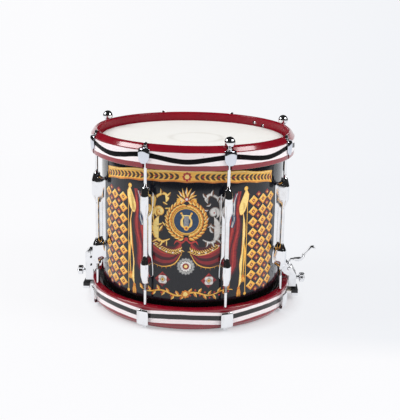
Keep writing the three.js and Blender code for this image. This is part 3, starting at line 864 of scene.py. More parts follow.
def lugMesh():
    s = lugShape
    low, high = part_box("lug_1")
    halfLength = (high.z - low.z) / 2
    rows = s["rows"]
    points = []
    for r in range(rows + 1):
        share = mix(-math.cos(math.pi * r / rows), 2 * r / rows - 1, s["evenRows"])
        z = middleZ + share * halfLength * (1 if share > 0 else mix(1, s["lowerShare"], -share))
        points += [(shellRadius + x, y, z) for y, x in lugOutline(abs(share))]
    mesh = meshFrom("cast_lug", points, tubeFaces(rows + 1, len(points) // (rows + 1)))
    faceOut(mesh)
    smoothMesh(mesh, 40)
    mesh.materials.append(finishes["chrome_plate"])
    return mesh


def addAtStations(*kinds):
    # kinds: a piece's name, its mesh at station k, its CAD node and its body, without their numbers
    for k in range(stationCount):
        for name, meshAt, nodeName, body in kinds:
            name, nodeName = f"{name}_{k + 1}", f"{nodeName}_{k + 1}"
            rides = f"{body}_{k + 1}" if body else "drum"
            spot = toDrum @ stationTurn(k)
            addPiece(name, meshAt(k), None, rides, "chrome_plate", nodeName, matrix=spot)


castLug = lugMesh()
addAtStations(("cast_lug", lambda k: castLug, "lug", None))
print("lugs made")

# Claws: a strip that hooks over the hoop's edge and widens into a crowned shield
# rows: reach, height, half width, crown, from the hook down the front
upperClawRows = [
    (187.4, 339.4, 5.2, 0),
    (188.6, 339.6, 5.8, 0),
    (193.0, 339.6, 6.6, 0.2),
    (197.2, 339.7, 8.4, 1.0),
    (200.8, 339.6, 10.0, 2.6),
    (203.2, 338.9, 11.2, 4.4),
    (204.2, 337.0, 11.7, 4.6),
    (204.3, 333.0, 11.8, 3.8),
    (204.1, 328.0, 11.8, 3.4),
    (203.8, 322.5, 11.5, 3.2),
    (203.4, 317.6, 10.2, 2.6),
    (203.0, 314.4, 7.8, 1.6),
    (202.5, 312.4, 5.0, 0.8),
    (202.0, 311.7, 2.6, 0.4),
]
lowerClawRows = [
    (187.4, 339.4, 5.2, 0),
    (188.6, 339.6, 5.8, 0),
    (193.0, 339.6, 5.9, 0),
    (197.2, 339.6, 6.6, 0.1),
    (200.8, 339.5, 10.4, 0.2),
    (202.9, 338.6, 11.4, 0.4),
    (203.7, 336.4, 11.8, 0.6),
    (203.8, 331.0, 11.8, 0.7),
    (203.8, 325.0, 11.8, 0.7),
    (203.8, 319.0, 11.8, 0.7),
    (203.7, 314.2, 11.6, 0.6),
    (203.2, 312.4, 10.8, 0.5),
    (202.4, 311.7, 9.4, 0.4),
]
clawShape = {"thickness": 2.3 * mm, "columns": 10}


def clawMesh(name, rows, lower):
    columns = clawShape["columns"]
    points, faces = [], []
    for reach, height, half, crown in rows:
        for i in range(columns + 1):
            u = 2 * i / columns - 1
            points.append(((reach - crown * u * u) * mm, half * u * mm, height * mm))
    for r in range(len(rows) - 1):
        for i in range(columns):
            a = r * (columns + 1) + i
            faces.append((a, a + columns + 1, a + columns + 2, a + 1))
    mesh = meshFrom(name, points, faces)
    if lower:
        turnOver(mesh)
    scratch = bpy.data.objects.new(name, mesh)
    bpy.context.collection.objects.link(scratch)
    wall = scratch.modifiers.new("wall", "SOLIDIFY")
    wall.thickness = clawShape["thickness"]
    wall.offset = 1 if lower else -1
    wall.use_even_offset = True
    soften = scratch.modifiers.new("soften", "SUBSURF")
    soften.levels = soften.render_levels = 2
    made = applied(scratch)
    bpy.data.objects.remove(scratch)
    faceOut(made)
    smoothMesh(made, 60)
    made.materials.append(finishes["chrome_plate"] if lower else shadedClawChrome)
    return made


upperClaw = clawMesh("upper_claw", upperClawRows, False)
lowerClaw = clawMesh("lower_claw", lowerClawRows, True)
addAtStations(
    ("upper_claw", lambda k: upperClaw, "top_clip", None),
    ("lower_claw", lambda k: lowerClaw, "bottom_clip", None),
)
print("claws made")

# Tension rods: a threaded shaft, a stepped washer and a square key head or a ball; all in mm
rodShape = {
    "radius": 3.0,
    "circle": 193.0,
    "end": 244.0,
    "seat": 339.9,
    "washers": [(5.3, 0), (5.6, 0.3), (5.6, 1.1), (5.2, 1.5), (4.6, 1.8)],
    "threadFrom": 262.0,
    "threadTo": 274.0,
    "threadPitch": 1.2,
    "threadDepth": 0.28,
    "ballRadius": 10.0,
    "ballDrop": 2.0,
    "ballNeck": 3.6,
    "ballSteps": 26,
    "squareFrom": 3.4,
    "squareShare": 0.8,
    "sides": 32,
}
# radius, and height above the seat
keyHead = [(4.1, 2.0), (4.0, 2.7), (3.2, 3.2), (2.9, 3.8), (2.3, 8.4), (1.7, 9.3), (0.05, 9.4)]
lowHead = [(4.8, 2.1), (4.7, 2.8), (4.4, 3.2), (4.3, 6.4), (4.0, 7.6), (3.2, 8.0), (0.05, 8.05)]
ballFoot = [(4.6, 2.1), (4.6, 2.8), (3.3, 3.3), (3.1, 4.4)]
ballFoot += [(3.6, 5.0), (4.3, 5.4), (4.3, 6.0), (3.6, 6.4)]


def rodShaft():
    s = rodShape
    r = s["radius"]
    shaft = [(r - 0.8, s["end"]), (r, s["end"] + 0.8)]
    z = s["threadFrom"]
    while z < s["threadTo"]:
        shaft += [(r - s["threadDepth"], z), (r, z + s["threadPitch"] / 2)]
        z += s["threadPitch"]
    return shaft + [(r, s["threadTo"] + 1), (r, s["seat"])]


def rodBall():
    s = rodShape
    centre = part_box("top_rod_1")[1].z / mm - s["ballRadius"] - s["ballDrop"]
    neckTurn = -math.degrees(math.acos(s["ballNeck"] / s["ballRadius"]))
    return arc(0, centre, s["ballRadius"], neckTurn, 89.5, s["ballSteps"])


def rodMesh(name, head, squareFrom=None, lower=False):
    s = rodShape
    above = [(r, s["seat"] + z) for r, z in s["washers"] + head]
    profile = [(r * mm, z * mm) for r, z in rodShaft() + above + ([] if squareFrom else rodBall())]

    def squareness(height):
        return s["squareShare"] * smoothStep(squareFrom, squareFrom + 0.4 * mm, height)

    mesh = turned(name, profile, s["sides"], squareness if squareFrom else None)
    if lower:
        turnOver(mesh)
    mesh.transform(Matrix.Translation((s["circle"] * mm, 0, 0)))
    smoothMesh(mesh, 38)
    mesh.materials.append(finishes["chrome_plate"])
    return mesh


squareHeight = (rodShape["seat"] + rodShape["squareFrom"]) * mm
keyRod = rodMesh("key_rod", keyHead, squareHeight)
ballRod = rodMesh("ball_rod", ballFoot)
lowRod = rodMesh("low_rod", lowHead, squareHeight - 0.2 * mm, lower=True)
addAtStations(
    ("upper_tension_rod", lambda k: ballRod if k in ballStations else keyRod, "top_rod", "upper_rod"),
    ("lower_tension_rod", lambda k: lowRod, "bottom_rod", "lower_rod"),
)
print("tension rods made")

# Strainer and butt: the CAD shapes with their edges eased; each piece's body, and its ease in mm
hardware = {
    "strainer_bracket": ("drum", 1.1),
    "strainer_carriage": ("carriage", 1.2),
    "throwoff_lever": ("lever", 1.3),
    "lever_pivot_pin": ("drum", 0.35),
    "strainer_clamp": ("snare_grip", 1.2),
    "butt_bracket": ("drum", 1.0),
    "butt_clamp": ("drum", 1.2),
}
clampPlate = 5.8 * mm  # the bright plate under each black clamp


def eased(nodeName, ease, plateTop=None):
    mesh = cadNodes[nodeName].data.copy()
    mesh.name = nodeName + "_eased"
    mesh.materials.clear()
    mesh.materials.append(finishes[slotOfNode[nodeName]])
    if plateTop is not None:
        mesh.materials.append(finishes["chrome_plate"])
    work = bmesh.new()
    work.from_mesh(mesh)
    bmesh.ops.remove_doubles(work, verts=work.verts, dist=1e-6)
    bmesh.ops.dissolve_limit(work, angle_limit=math.radians(2), verts=work.verts, edges=work.edges)
    if plateTop is not None:
        bisect(work, 1e-6, (0, 0, plateTop), (0, 0, 1))
        for face in work.faces:
            face.material_index = int(face.calc_center_median().z < plateTop)
    work.to_mesh(mesh)
    work.free()
    scratch = bpy.data.objects.new(mesh.name, mesh)
    bpy.context.collection.objects.link(scratch)
    bevel = scratch.modifiers.new("ease", "BEVEL")
    bevel.width = ease * mm
    bevel.segments = 3
    bevel.limit_method = "ANGLE"
    bevel.angle_limit = math.radians(28)
    bevel.use_clamp_overlap = True
    made = applied(scratch)
    bpy.data.objects.remove(scratch)
    smoothMesh(made, 40)
    return made


for nodeName, (body, ease) in hardware.items():
    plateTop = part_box(nodeName)[0].z + clampPlate if nodeName.endswith("clamp") else None
    mesh = eased(nodeName, ease, plateTop)
    addPiece("eased_" + nodeName, mesh, None, body, slotOfNode[nodeName], nodeName)

# the butt's four side screws are thin dark discs, painted shade for their sunk heads
buttScrews = {
    "radius": 2.1 * mm,
    "proud": 0.08 * mm,
    "fromEnd": 11.7 * mm,
    "lifts": (33 * mm, 49.5 * mm),
}
buttLow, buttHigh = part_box("butt_bracket")
for row, lift in enumerate(buttScrews["lifts"], 1):
    for side, y, sign in (("front", buttLow.y, -1), ("back", buttHigh.y, 1)):
        radius, proud = buttScrews["radius"], buttScrews["proud"]
        mesh = turned("screw_shade_disc", [(0.1 * mm, 0), (radius, 0), (radius, -proud)], 24)
        place = (buttLow.x + buttScrews["fromEnd"], y + sign * proud, buttLow.z + lift)
        mesh.transform(Matrix.Translation(place) @ Matrix.Rotation(-sign * math.pi / 2, 4, "X"))
        smoothMesh(mesh, 30)
        name, finish = f"butt_screw_{side}_{row}", "blackened_steel"
        addPiece(name, mesh, finishes[finish], "drum", finish)

# the lever's arm widens outside its hub, and runs level before it rises to its tip
leverShape = {
    "widen": 0.5,
    "widenOver": (0.3, 0.45),
    # share of the reach, mm down
    "sag": [(0, 0), (0.3, 0), (0.52, 4.0), (0.68, 5.5), (0.8, 2.0), (1, 2.0)],
}
leverLow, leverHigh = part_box("throwoff_lever")
for vertex in bpy.data.objects["eased_throwoff_lever"].data.vertices:
    share = (vertex.co.x - leverLow.x) / (leverHigh.x - leverLow.x)
    vertex.co.y *= 1 + leverShape["widen"] * smoothStep(*leverShape["widenOver"], share)
    for (fromShare, fromSag), (toShare, toSag) in zip(leverShape["sag"], leverShape["sag"][1:]):
        if fromShare <= share <= toShare:
            vertex.co.z -= mix(fromSag, toSag, smoothStep(fromShare, toShare, share)) * mm

# Knobs: a fluted, crowned grip with a slotted screw in its face, on a stepped neck; in mm
knobShape = {
    "radius": 9.6,
    "length": 12.0,
    "lobes": 6,
    "fluteDepth": 2.6,
    "neck": 3.2,
    "collar": 4.6,
    "screw": 2.6,
    "centre": 0.05,
    "sides": 96,
}


def knobMesh(name, neckLength):
    # along +X from the end of the neck; the grip's face is outermost
    k = knobShape
    radius, neck, collar, screw = k["radius"], k["neck"], k["collar"], k["screw"]
    start, end = neckLength, neckLength + k["length"]
    profile = [  # radius, place along X, share of the flutes' depth
        (k["centre"], 0.0, 0.0),
        (neck - 0.4, 0.0, 0.0),
        (neck, 0.5, 0.0),
        (neck, start - 2.2, 0.0),
        (collar, start - 1.9, 0.0),
        (collar, start - 0.3, 0.0),
        (collar + 0.8, start, 0.0),
        (radius - 2.4, start + 0.3, 0.5),
        (radius - 0.7, start + 1.2, 0.9),
        (radius, start + 2.8, 1.0),
        (radius, end - 3.6, 1.0),
        (radius - 0.6, end - 1.8, 0.95),
        (radius - 2.2, end - 0.7, 0.6),
        (radius - 4.4, end - 0.3, 0.15),
        (screw + 0.5, end - 0.2, 0.0),
        (screw + 0.3, end - 1.2, 0.0),
        (screw, end - 1.2, 0.0),
        (screw - 0.2, end - 0.1, 0.0),
        (k["centre"], end, 0.0),
    ]
    points = []
    for out, x, share in profile:
        for i in range(k["sides"]):
            a = 2 * math.pi * i / k["sides"]
            r = out - k["fluteDepth"] * share * abs(math.sin(k["lobes"] * a / 2)) ** 3
            points.append((x * mm, r * math.cos(a) * mm, r * math.sin(a) * mm))
    mesh = meshFrom(name, points, tubeFaces(len(profile), k["sides"]))
    faceOut(mesh)
    smoothMesh(mesh, 34)
    mesh.materials.append(finishes["chrome_plate"])
    return mesh


def makeKnob(name, nodeName, body, side):
    low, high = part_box(nodeName)
    neckLength = (high.x - low.x) / mm - knobShape["length"]
    start = low.x if side > 0 else high.x
    turn = Matrix.Rotation(0 if side > 0 else math.pi, 4, "Z")
    place = Matrix.Translation((start, 0, (low.z + high.z) / 2)) @ turn
    addPiece(name, knobMesh(name, neckLength), None, body, "chrome_plate", nodeName, matrix=place)


makeKnob("adjusting_knob", "strainer_knob", "adjuster", 1)
makeKnob("fixing_knob", "butt_knob", "butt_screw", -1)
print("strainer and butt made")

# Painted front: shapes in millimetres, across the front from its middle line and up from the floor
paintTones = {
    "gold": ((0.93, 0.55, 0.095), (0.86, 0.42, 0.055)),
    "orange": ((0.72, 0.25, 0.03), (0.55, 0.16, 0.018)),
    "umber": ((0.16, 0.05, 0.012), (0.09, 0.028, 0.01)),
    "straw": ((1.0, 0.78, 0.3), (0.95, 0.66, 0.18)),
    "ink": ((0.012, 0.01, 0.012), (0.02, 0.014, 0.012)),
    "crimson": ((0.3, 0.017, 0.024), (0.2, 0.012, 0.02)),
    "scarlet": ((0.5, 0.045, 0.03), (0.4, 0.03, 0.028)),
    "maroon": ((0.075, 0.008, 0.014), (0.045, 0.006, 0.012)),
    "blue": ((0.02, 0.06, 0.13), (0.012, 0.035, 0.085)),
    "silver": ((0.48, 0.48, 0.46), (0.34, 0.34, 0.33)),
    "slate": ((0.14, 0.14, 0.15), (0.09, 0.09, 0.1)),
    "white": ((0.86, 0.83, 0.8), (0.7, 0.67, 0.64)),
    "green": ((0.05, 0.1, 0.03), (0.03, 0.06, 0.02)),
}
panel = {
    "lift": 0.05 * mm,
    "layer": 0.045 * mm,  # how much further out each layer lies
    "film": 0.04 * mm,
    "slice": 4.0,  # mm between the cuts that let a flat shape bend round the shell
    "brushScale": 120.0,
}
# tone sets: base, shade and light; or the strips of a cloth
faceted = ("gold", "orange", "straw")
facetedRed = ("crimson", "maroon", "scarlet")
goldLeaf = ("gold", "umber", "straw")
silverLeaf = ("silver", "umber", "white")
paleLeaf = ("straw", "orange", "white")
darkLeaf = ("ink", "umber", "green")
cloth = ("maroon", "crimson", "scarlet", "crimson")
lining = ("blue", "white", "blue", "scarlet", "blue")
painted = {}


def makePaint(name, tones):
    look = {
        "Base Color": (*tones[0], 1),
        "Roughness": 0.45,
        "Specular IOR Level": 0.1,
        "Coat Weight": 1.0,
        "Coat Roughness": 0.07,
        "Coat IOR": 1.42,
    }
    finish, tree, shader = newFinish("paint_" + name, look)
    strokes = stretched(tree, objectPlace(tree), (1.0, 1.0, 2.6), (0.0, 0.5, 0.0))
    brush = noiseOf(tree, strokes, panel["brushScale"], 5, 0.65)
    colour = blended(tree, ranged(tree, brush, 0.35, 0.65, 0, 1), *tones)
    tree.links.new(colour, shader.inputs["Base Color"])
    bumped(tree, shader, brush, 0.2, 0.2 * mm)
    return finish


def fill(tone, layer, outline):
    painted.setdefault(tone, {}).setdefault(layer, []).append(outline)


def bothSides(draw):
    for side in (-1, 1):
        draw(side)


def onSide(side, points):
    return [(side * x, z) for x, z in points]


def facing(side, heading):
    # a heading in degrees, mirrored for the left side
    return heading if side > 0 else 180 - heading


def around(at, radius, turn):
    return at[0] + radius * math.cos(turn), at[1] + radius * math.sin(turn)


def between(a, b, c, d, t):
    # a smooth step from b to c, with their neighbours a and d
    square = (2 * a - 5 * b + 4 * c - d) * t * t
    cube = (3 * b - a - 3 * c + d) * t ** 3
    return 0.5 * (2 * b + (c - a) * t + square + cube)


def curve(points, steps=8):
    # a smooth path through the points
    path = []
    last = len(points) - 1
    for i in range(last):
        four = points[max(i - 1, 0)], points[i], points[i + 1], points[min(i + 2, last)]
        for j in range(steps):
            path.append(tuple(between(*values, j / steps) for values in zip(*four)))
    return path + [tuple(points[-1])]


fullWidth = (0.3, 0.6)  # a stroke is at its full width between these shares of its length


def stroke(tone, layer, path, wide, ends=(0.25, 0.25)):
    # a brush line along a path; ends: the shares of its width at its two ends
    left, right = [], []
    count = len(path) - 1
    for i, (x, z) in enumerate(path):
        ax, az = path[max(i - 1, 0)]
        bx, bz = path[min(i + 1, count)]
        dx, dz = bx - ax, bz - az
        size = math.hypot(dx, dz) or 1
        t = i / count
        swollen = mix(ends[0], 1, smoothStep(0, fullWidth[0], t))
        half = wide / 2 * mix(swollen, ends[1], smoothStep(fullWidth[1], 1, t))
        left.append((x - dz / size * half, z + dx / size * half))
        right.append((x + dz / size * half, z - dx / size * half))
    fill(tone, layer, left + right[::-1])


def leafSide(at, heading, size, wide, bend, side, steps=7):
    turn = math.radians(heading)
    points = []
    for i in range(steps + 1):
        t = i / steps
        out = side * wide / 2 * math.sin(math.pi * t ** 0.8) + bend * math.sin(math.pi * t)
        x = at[0] + size * t * math.cos(turn) - out * math.sin(turn)
        z = at[1] + size * t * math.sin(turn) + out * math.cos(turn)
        points.append((x, z))
    return points


def leaf(layer, at, heading, size, wide, tones=faceted, bend=0.0):
    base, shade, light = tones
    upper = leafSide(at, heading, size, wide, bend, 1)
    lower = leafSide(at, heading, size, wide, bend, -1)
    middle = leafSide(at, heading, size, 0, bend, 0)
    fill(base, layer, upper + lower[-2:0:-1])
    fill(shade, layer + 1, middle + lower[-2:0:-1])
    fill(light, layer + 1, upper[1:-1] + leafSide(at, heading, size, wide * 0.5, bend, 1)[-2:0:-1])


def disc(tone, layer, at, radius, count=20):
    fill(tone, layer, [around(at, radius, 2 * math.pi * i / count) for i in range(count)])


def flower(tone, layer, at, radius, petals, depth, spin=0.0):
    count = petals * 8
    outline = []
    for i in range(count):
        a = 2 * math.pi * i / count
        r = radius * (1 - depth + depth * abs(math.cos(petals * a / 2)) ** 0.7)
        outline.append(around(at, r, a + spin))
    fill(tone, layer, outline)


def lozenge(layer, at, wide, tall, tones, heart):
    x, z = at
    base, shade, light = tones

    def facet(tone, above, *corners):
        fill(tone, layer + above, [(x + wide * u, z + tall * v) for u, v in corners])

    facet(base, 0, (-1, 0), (0, -1), (1, 0), (0, 1))
    facet(shade, 1, (0, -1), (1, 0), (0.78, 0), (0, -0.74))
    facet(shade, 1, (-1, 0), (0, -1), (0, -0.74), (-0.78, 0))
    facet(light, 1, (-1, 0), (-0.82, 0), (0, 0.78), (0, 1))
    facet(heart, 1, (-0.36, 0), (0, -0.4), (0.36, 0), (0, 0.4))
    facet(light, 2, (-0.12, 0), (0, -0.14), (0.12, 0), (0, 0.14))


def spiral(at, radius, fromTurn, turns, shrink, steps=40):
    path = []
    for i in range(steps + 1):
        t = i / steps
        turn = math.radians(fromTurn) + 2 * math.pi * turns * t
        path.append(around(at, radius * (1 - shrink * t), turn))
    return path


def folds(layer, left, right, tones, steps=10):
    # hanging cloth: strips between two side curves
    pairs = list(zip(curve(left, steps), curve(right, steps)))
    count = len(tones)

    def line(share):
        return [(mix(a, c, share), mix(b, d, share)) for (a, b), (c, d) in pairs]

    lines = [line(j / count) for j in range(count + 1)]
    for tone, one, two in zip(tones, lines, lines[1:]):
        fill(tone, layer, one + two[::-1])


frieze = {
    "reach": 184,
    "half": 11.5,
    "sag": 15,
    "middle": 288.5,
    "steps": 120,
    "leafPairs": 17,
    "leafPitch": 9.6,
}


def paintFrieze():
    # a gold band under the upper hoop, with a laurel spray from its middle to each end
    reach, half, sag = (frieze[key] for key in ("reach", "half", "sag"))

    def middle(x):
        return frieze["middle"] - sag * (x / reach) ** 2

    xs = [reach * (2 * i / frieze["steps"] - 1) for i in range(frieze["steps"] + 1)]
    top = [(x, middle(x) + half + 0.8 * math.sin(abs(x) / 13)) for x in xs]
    low = [(x, middle(x) - half + 1.6 * abs(math.sin(x / 14.6))) for x in xs]
    fill("gold", 0, low + top[::-1])
    stroke("straw", 1, [(x, z - 2.2) for x, z in top[2:-2]], 2.6, (0.5, 0.5))
    stroke("orange", 1, [(x, z + 2.2) for x, z in low[2:-2]], 3.0, (0.5, 0.5))
    stroke("umber", 1, [(x, z + 0.4) for x, z in low], 0.9, (1, 1))
    for side in (-1, 1):
        stroke("umber", 1, [(side * x, middle(x)) for x in range(10, 178, 4)], 1.0)
        for i in range(frieze["leafPairs"]):
            x = 14 + i * frieze["leafPitch"]
            slope = math.degrees(math.atan(-2 * sag * x / reach ** 2))
            for lean in (34, -34):
                heading = facing(side, slope + lean)
                leaf(2, (side * x, middle(x)), heading, 10.5, 4.6, darkLeaf)
            if i % 3 == 1:
                disc("scarlet", 4, (side * (x + 5), middle(x + 5)), 1.9, 12)
        end = middle(reach)
        notch = [(reach, end + half - 2), (reach - 9, end), (reach, end - half + 3), (reach - 3, end)]
        fill("crimson", 1, onSide(side, notch))
    flower("scarlet", 3, (0, frieze["middle"]), 8.5, 8, 0.3)
    flower("straw", 4, (0, frieze["middle"]), 4.5, 6, 0.3)


trellis = {
    "x": 132,
    "z": 72,
    "rows": 9,
    "columns": 3,
    "pitchX": 25.5,
    "pitchZ": 20.6,
    "wide": 12.2,
    "tall": 9.9,
    "small": 0.62,  # size of the crimson ones against the gold
    "edge": 117.5,
    "edgeEnds": (58.5, 250.5),
}


def paintColumn(side):
    # a trellis of faceted gold lozenges with small crimson ones between
    t = trellis

    def place(column, row):
        return side * (t["x"] + t["pitchX"] * column), t["z"] + t["pitchZ"] * row

    wide, tall = t["wide"], t["tall"]
    for row in range(t["rows"]):
        for column in range(t["columns"]):
            lozenge(0, place(column, row), wide, tall, faceted, "crimson")
    wide, tall = wide * t["small"], tall * t["small"]
    for row in range(t["rows"] + 1):
        for column in range(t["columns"] - 1):
            lozenge(0, place(column + 0.5, row - 0.5), wide, tall, facetedRed, "gold")
    edge = side * t["edge"]
    stroke("gold", 0, [(edge, z) for z in range(60, 251, 5)], 1.5, (1, 1))
    for z in t["edgeEnds"]:
        disc("gold", 1, (edge, z), 3)


def paintDrape(side):
    # crimson cloth with a blue lining, gathered at the top
    left = onSide(side, [(104, 258), (99, 225), (106, 190), (96, 150), (100, 118), (84, 92)])
    right = onSide(side, [(96, 258), (84, 225), (82, 190), (74, 150), (66, 120), (62, 104)])
    folds(0, left, right, cloth * 2)
    blueLeft = onSide(side, [(96, 255), (88, 228), (93, 208), (88, 190)])
    blueRight = onSide(side, [(90, 255), (80, 228), (78, 208), (77, 196)])
    folds(1, blueLeft, blueRight, lining)
    hem = curve([left[-1], (side * 76, 94), right[-1]], 10)
    stroke("gold", 2, hem, 2.4, (0.6, 0.6))
    for x, z in hem[::2]:
        stroke("gold", 2, [(x, z), (x - side * 0.6, z - 3), (x - side * 1.0, z - 6)], 1.3)


def paintInnerDrape(side):
    left = onSide(side, [(10, 170), (24, 158), (44, 162), (62, 176)])
    right = onSide(side, [(6, 150), (20, 126), (42, 118), (62, 122)])
    folds(0, left, right, cloth + ("maroon", "crimson", "maroon"))
    edge = curve(right, 8)
    stroke("gold", 1, edge, 1.8)
    for x, z in edge[2::3]:
        stroke("orange", 1, [(x, z), (x, z - 4.5)], 1.2, (1, 0.3))


def paintCord(side):
    ring = [(113, 262), (119, 246), (112, 222), (103, 214), (100, 228), (107, 246), (113, 258)]
    loop = curve(onSide(side, ring), 8)
    tail = curve(onSide(side, [(108, 216), (113, 190), (112, 160), (104, 118), (108, 88), (103, 74)]), 8)
    for path in (loop, tail):
        stroke("orange", 3, path, 2.4, (1, 1))
        stroke("straw", 4, path, 1.0, (1, 1))
    second = curve(onSide(side, [(112, 160), (116, 140), (113, 112), (112, 96)]), 8)
    stroke("gold", 3, second, 1.8, (1, 1))
    disc("gold", 4, (side * 113, 262), 4.2)
    disc("straw", 5, (side * 112, 263.2), 1.7, 12)
    for x, z, size in ((side * 103, 72, 17), (side * 112, 94, 12)):
        disc("orange", 4, (x, z), 3.0, 14)
        for i in range(5):
            out = (i - 2) * 1.9
            thread = [(x + out * 0.4, z - 1), (x + out, z - size * 0.55), (x + out * 1.05, z - size)]
            stroke("gold" if i % 2 else "orange", 3, thread, 2.0, (0.8, 0.5))


wreath = {
    "z": 207,
    "discs": [("gold", 26.5), ("umber", 25.2), ("gold", 24.2), ("blue", 22.6)],
    "radius": 32,
    "leafPairs": 14,
    "leafPitch": 11.8,
}


def paintWreath():
    z = wreath["z"]
    at = (0, z)
    for layer, (tone, radius) in enumerate(wreath["discs"], 2):
        disc(tone, layer, at, radius, 48)
    rings = ((wreath["radius"] - 1.5, 22, 10.5), (wreath["radius"] + 1.0, -26, 11.5))
    ribbon = [(0, z - 34), (8, z - 41), (17, z - 38), (22, z - 45)]
    for side in (-1, 1):
        for i in range(wreath["leafPairs"]):
            turn = -82 + i * wreath["leafPitch"]
            for ring, lean, size in rings:
                foot = around(at, ring, math.radians(turn))
                leaf(4 + i % 2, (side * foot[0], foot[1]), facing(side, turn + 90 + lean), size, 5.2)
        stroke("scarlet", 6, curve(onSide(side, ribbon), 6), 3.4)
    disc("scarlet", 7, ribbon[0], 3.6, 14)


def paintLyre():
    z = wreath["z"]
    for side in (-1, 1):
        bends = [(2, z - 13), (8.5, z - 8), (9, z + 1), (5.5, z + 7), (8.5, z + 14)]
        arm = curve(onSide(side, bends), 7)
        stroke("gold", 6, arm, 3.0, (0.9, 0.5))
        stroke("straw", 7, arm, 1.0)
        disc("gold", 6, (side * 9.2, z + 14.2), 2.0, 12)
    for x in (-3, -1, 1, 3):
        stroke("white", 6, [(x, z - 11), (x, z + 9.5)], 0.6, (1, 1))
    stroke("straw", 7, [(-9, z + 9.6), (0, z + 10.4), (9, z + 9.6)], 2.0, (0.7, 0.7))
    disc("gold", 7, (0, z - 13.4), 4.4, 16)
    disc("scarlet", 8, (0, z - 13.4), 2.0, 12)


def paintPalmette():
    foot = (0, wreath["z"] + 37)
    for i in range(9):
        turn = 14 + i * 19
        size = 17 + 9 * math.sin(math.radians(turn))
        leaf(3 + i % 2, foot, turn, size, 6.0, goldLeaf if i % 2 else paleLeaf)
    disc("scarlet", 6, (foot[0], foot[1] + 3.5), 4.2, 16)
    flower("white", 7, (foot[0], foot[1] + 3.5), 2.6, 5, 0.3)
    for side in (-1, 1):
        start = 200 if side > 0 else -20
        stroke("gold", 5, spiral((side * 13, foot[1] - 1), 6, start, side * -1.1, 0.7), 2.2)


def paintScroll(side, tones):
    # a leafy scroll beside the wreath
    base, shade, light = tones
    stem = curve(onSide(side, [(30, 172), (46, 166), (59, 178), (60, 200), (50, 214)]), 10)
    curl = spiral((side * 50, 222), 11, -70 if side > 0 else 250, side * 1.35, 0.82)
    upper = curve(onSide(side, [(60, 196), (63, 222), (58, 246), (42, 256), (33, 248), (38, 240)]), 10)
    for path, wide in ((stem, 6.0), (curl, 4.6), (upper, 4.4)):
        stroke(shade, 2, path, wide + 1.4)
        stroke(base, 3, path, wide)
        stroke(light, 4, path, wide * 0.3)
    disc(light, 5, (side * 50, 222), 2.8, 14)
    disc("scarlet", 6, (side * 50, 222), 1.4, 10)
    sprays = [
        (44, 167, -62, 14),
        (53, 171, -38, 14),
        (60, 181, -8, 12),
        (61, 193, 20, 12),
        (37, 169, -95, 12),
        (50, 184, 118, 15),
        (55, 194, 150, 14),
        (61, 212, 22, 11),
        (61, 226, 40, 12),
        (56, 242, 62, 13),
        (46, 252, 82, 13),
        (36, 250, 128, 12),
        (44, 240, 205, 11),
        (40, 228, 170, 10),
        (41, 214, 200, 11),
        (45, 203, 228, 11),
    ]
    for x, z, turn, size in sprays:
        leaf(3, (side * x, z), facing(side, turn), size, size * 0.45, tones, bend=side)


def paintSwag(side):
    # a leaf garland that hangs from the scrolls to the middle
    path = curve(onSide(side, [(61, 160), (44, 150), (26, 146), (8, 152)]), 9)
    stroke("umber", 2, path, 1.6, (1, 1))
    for i, (x, z) in enumerate(path[1:-1:2]):
        for lean in (38, -38):
            heading = facing(side, 192 - i * 3 + lean)
            leaf(3, (x, z), heading, 8.5, 3.8, goldLeaf)
        if i % 3 == 0:
            disc("white", 5, (x, z), 1.5, 10)


def paintRosette(at, size):
    flower("slate", 2, at, size, 16, 0.16)
    flower("silver", 3, at, size * 0.93, 16, 0.2)
    flower("slate", 4, at, size * 0.68, 12, 0.2, 0.13)
    flower("white", 5, at, size * 0.62, 12, 0.26, 0.13)
    disc("crimson", 6, at, size * 0.36, 20)
    flower("straw", 7, at, size * 0.2, 6, 0.3)


def paintBlossom(at):
    x, z = at
    fill("crimson", 2, [(x - 15, z), (x, z - 15), (x + 15, z), (x, z + 15)])
    fill("scarlet", 3, [(x - 15, z), (x - 12.4, z), (x, z + 12.4), (x, z + 15)])
    fill("maroon", 3, [(x + 15, z), (x + 12.4, z), (x, z - 12.4), (x, z - 15)])
    flower("white", 4, at, 9.5, 4, 0.42, math.pi / 4)
    flower("silver", 5, at, 6.0, 4, 0.4)
    disc("gold", 6, at, 3.0, 14)
    disc("green", 7, at, 1.2, 10)


vine = {"z": 67, "half": 90, "pitch": 3.0, "points": 61, "wave": 3.6, "waveScale": 9.5, "rise": 4.0}


def paintVine():
    # a running vine along the foot of the front
    v = vine

    def height(x):
        return v["z"] + v["wave"] * math.sin(x / v["waveScale"]) + v["rise"] * (x / v["half"]) ** 2

    xs = [v["pitch"] * i - v["half"] for i in range(v["points"])]
    path = [(x, height(x)) for x in xs]
    stroke("umber", 2, path, 4.2, (0.5, 0.5))
    stroke("gold", 3, path, 2.8, (0.5, 0.5))
    for i, (x, z) in enumerate(path[2:-2:3]):
        up = i % 2 == 0
        heading = 58 if x > 0 else 122
        leaf(4, (x, z), heading if up else -heading, 11.5, 5.2)
        disc("scarlet", 5, (x + 3, z + (-4.6 if up else 4.6)), 1.8, 10)
    flower("orange", 6, (0, v["z"]), 8, 8, 0.24)
    flower("straw", 7, (0, v["z"]), 4.6, 8, 0.24)


paintFrieze()
bothSides(paintColumn)
bothSides(paintDrape)
bothSides(paintInnerDrape)
bothSides(paintCord)
paintWreath()
paintLyre()
paintPalmette()
paintScroll(-1, goldLeaf)
paintScroll(1, silverLeaf)
bothSides(paintSwag)
paintRosette((0, 121), 17)
paintBlossom((-43, 93))
paintBlossom((43, 93))
paintVine()


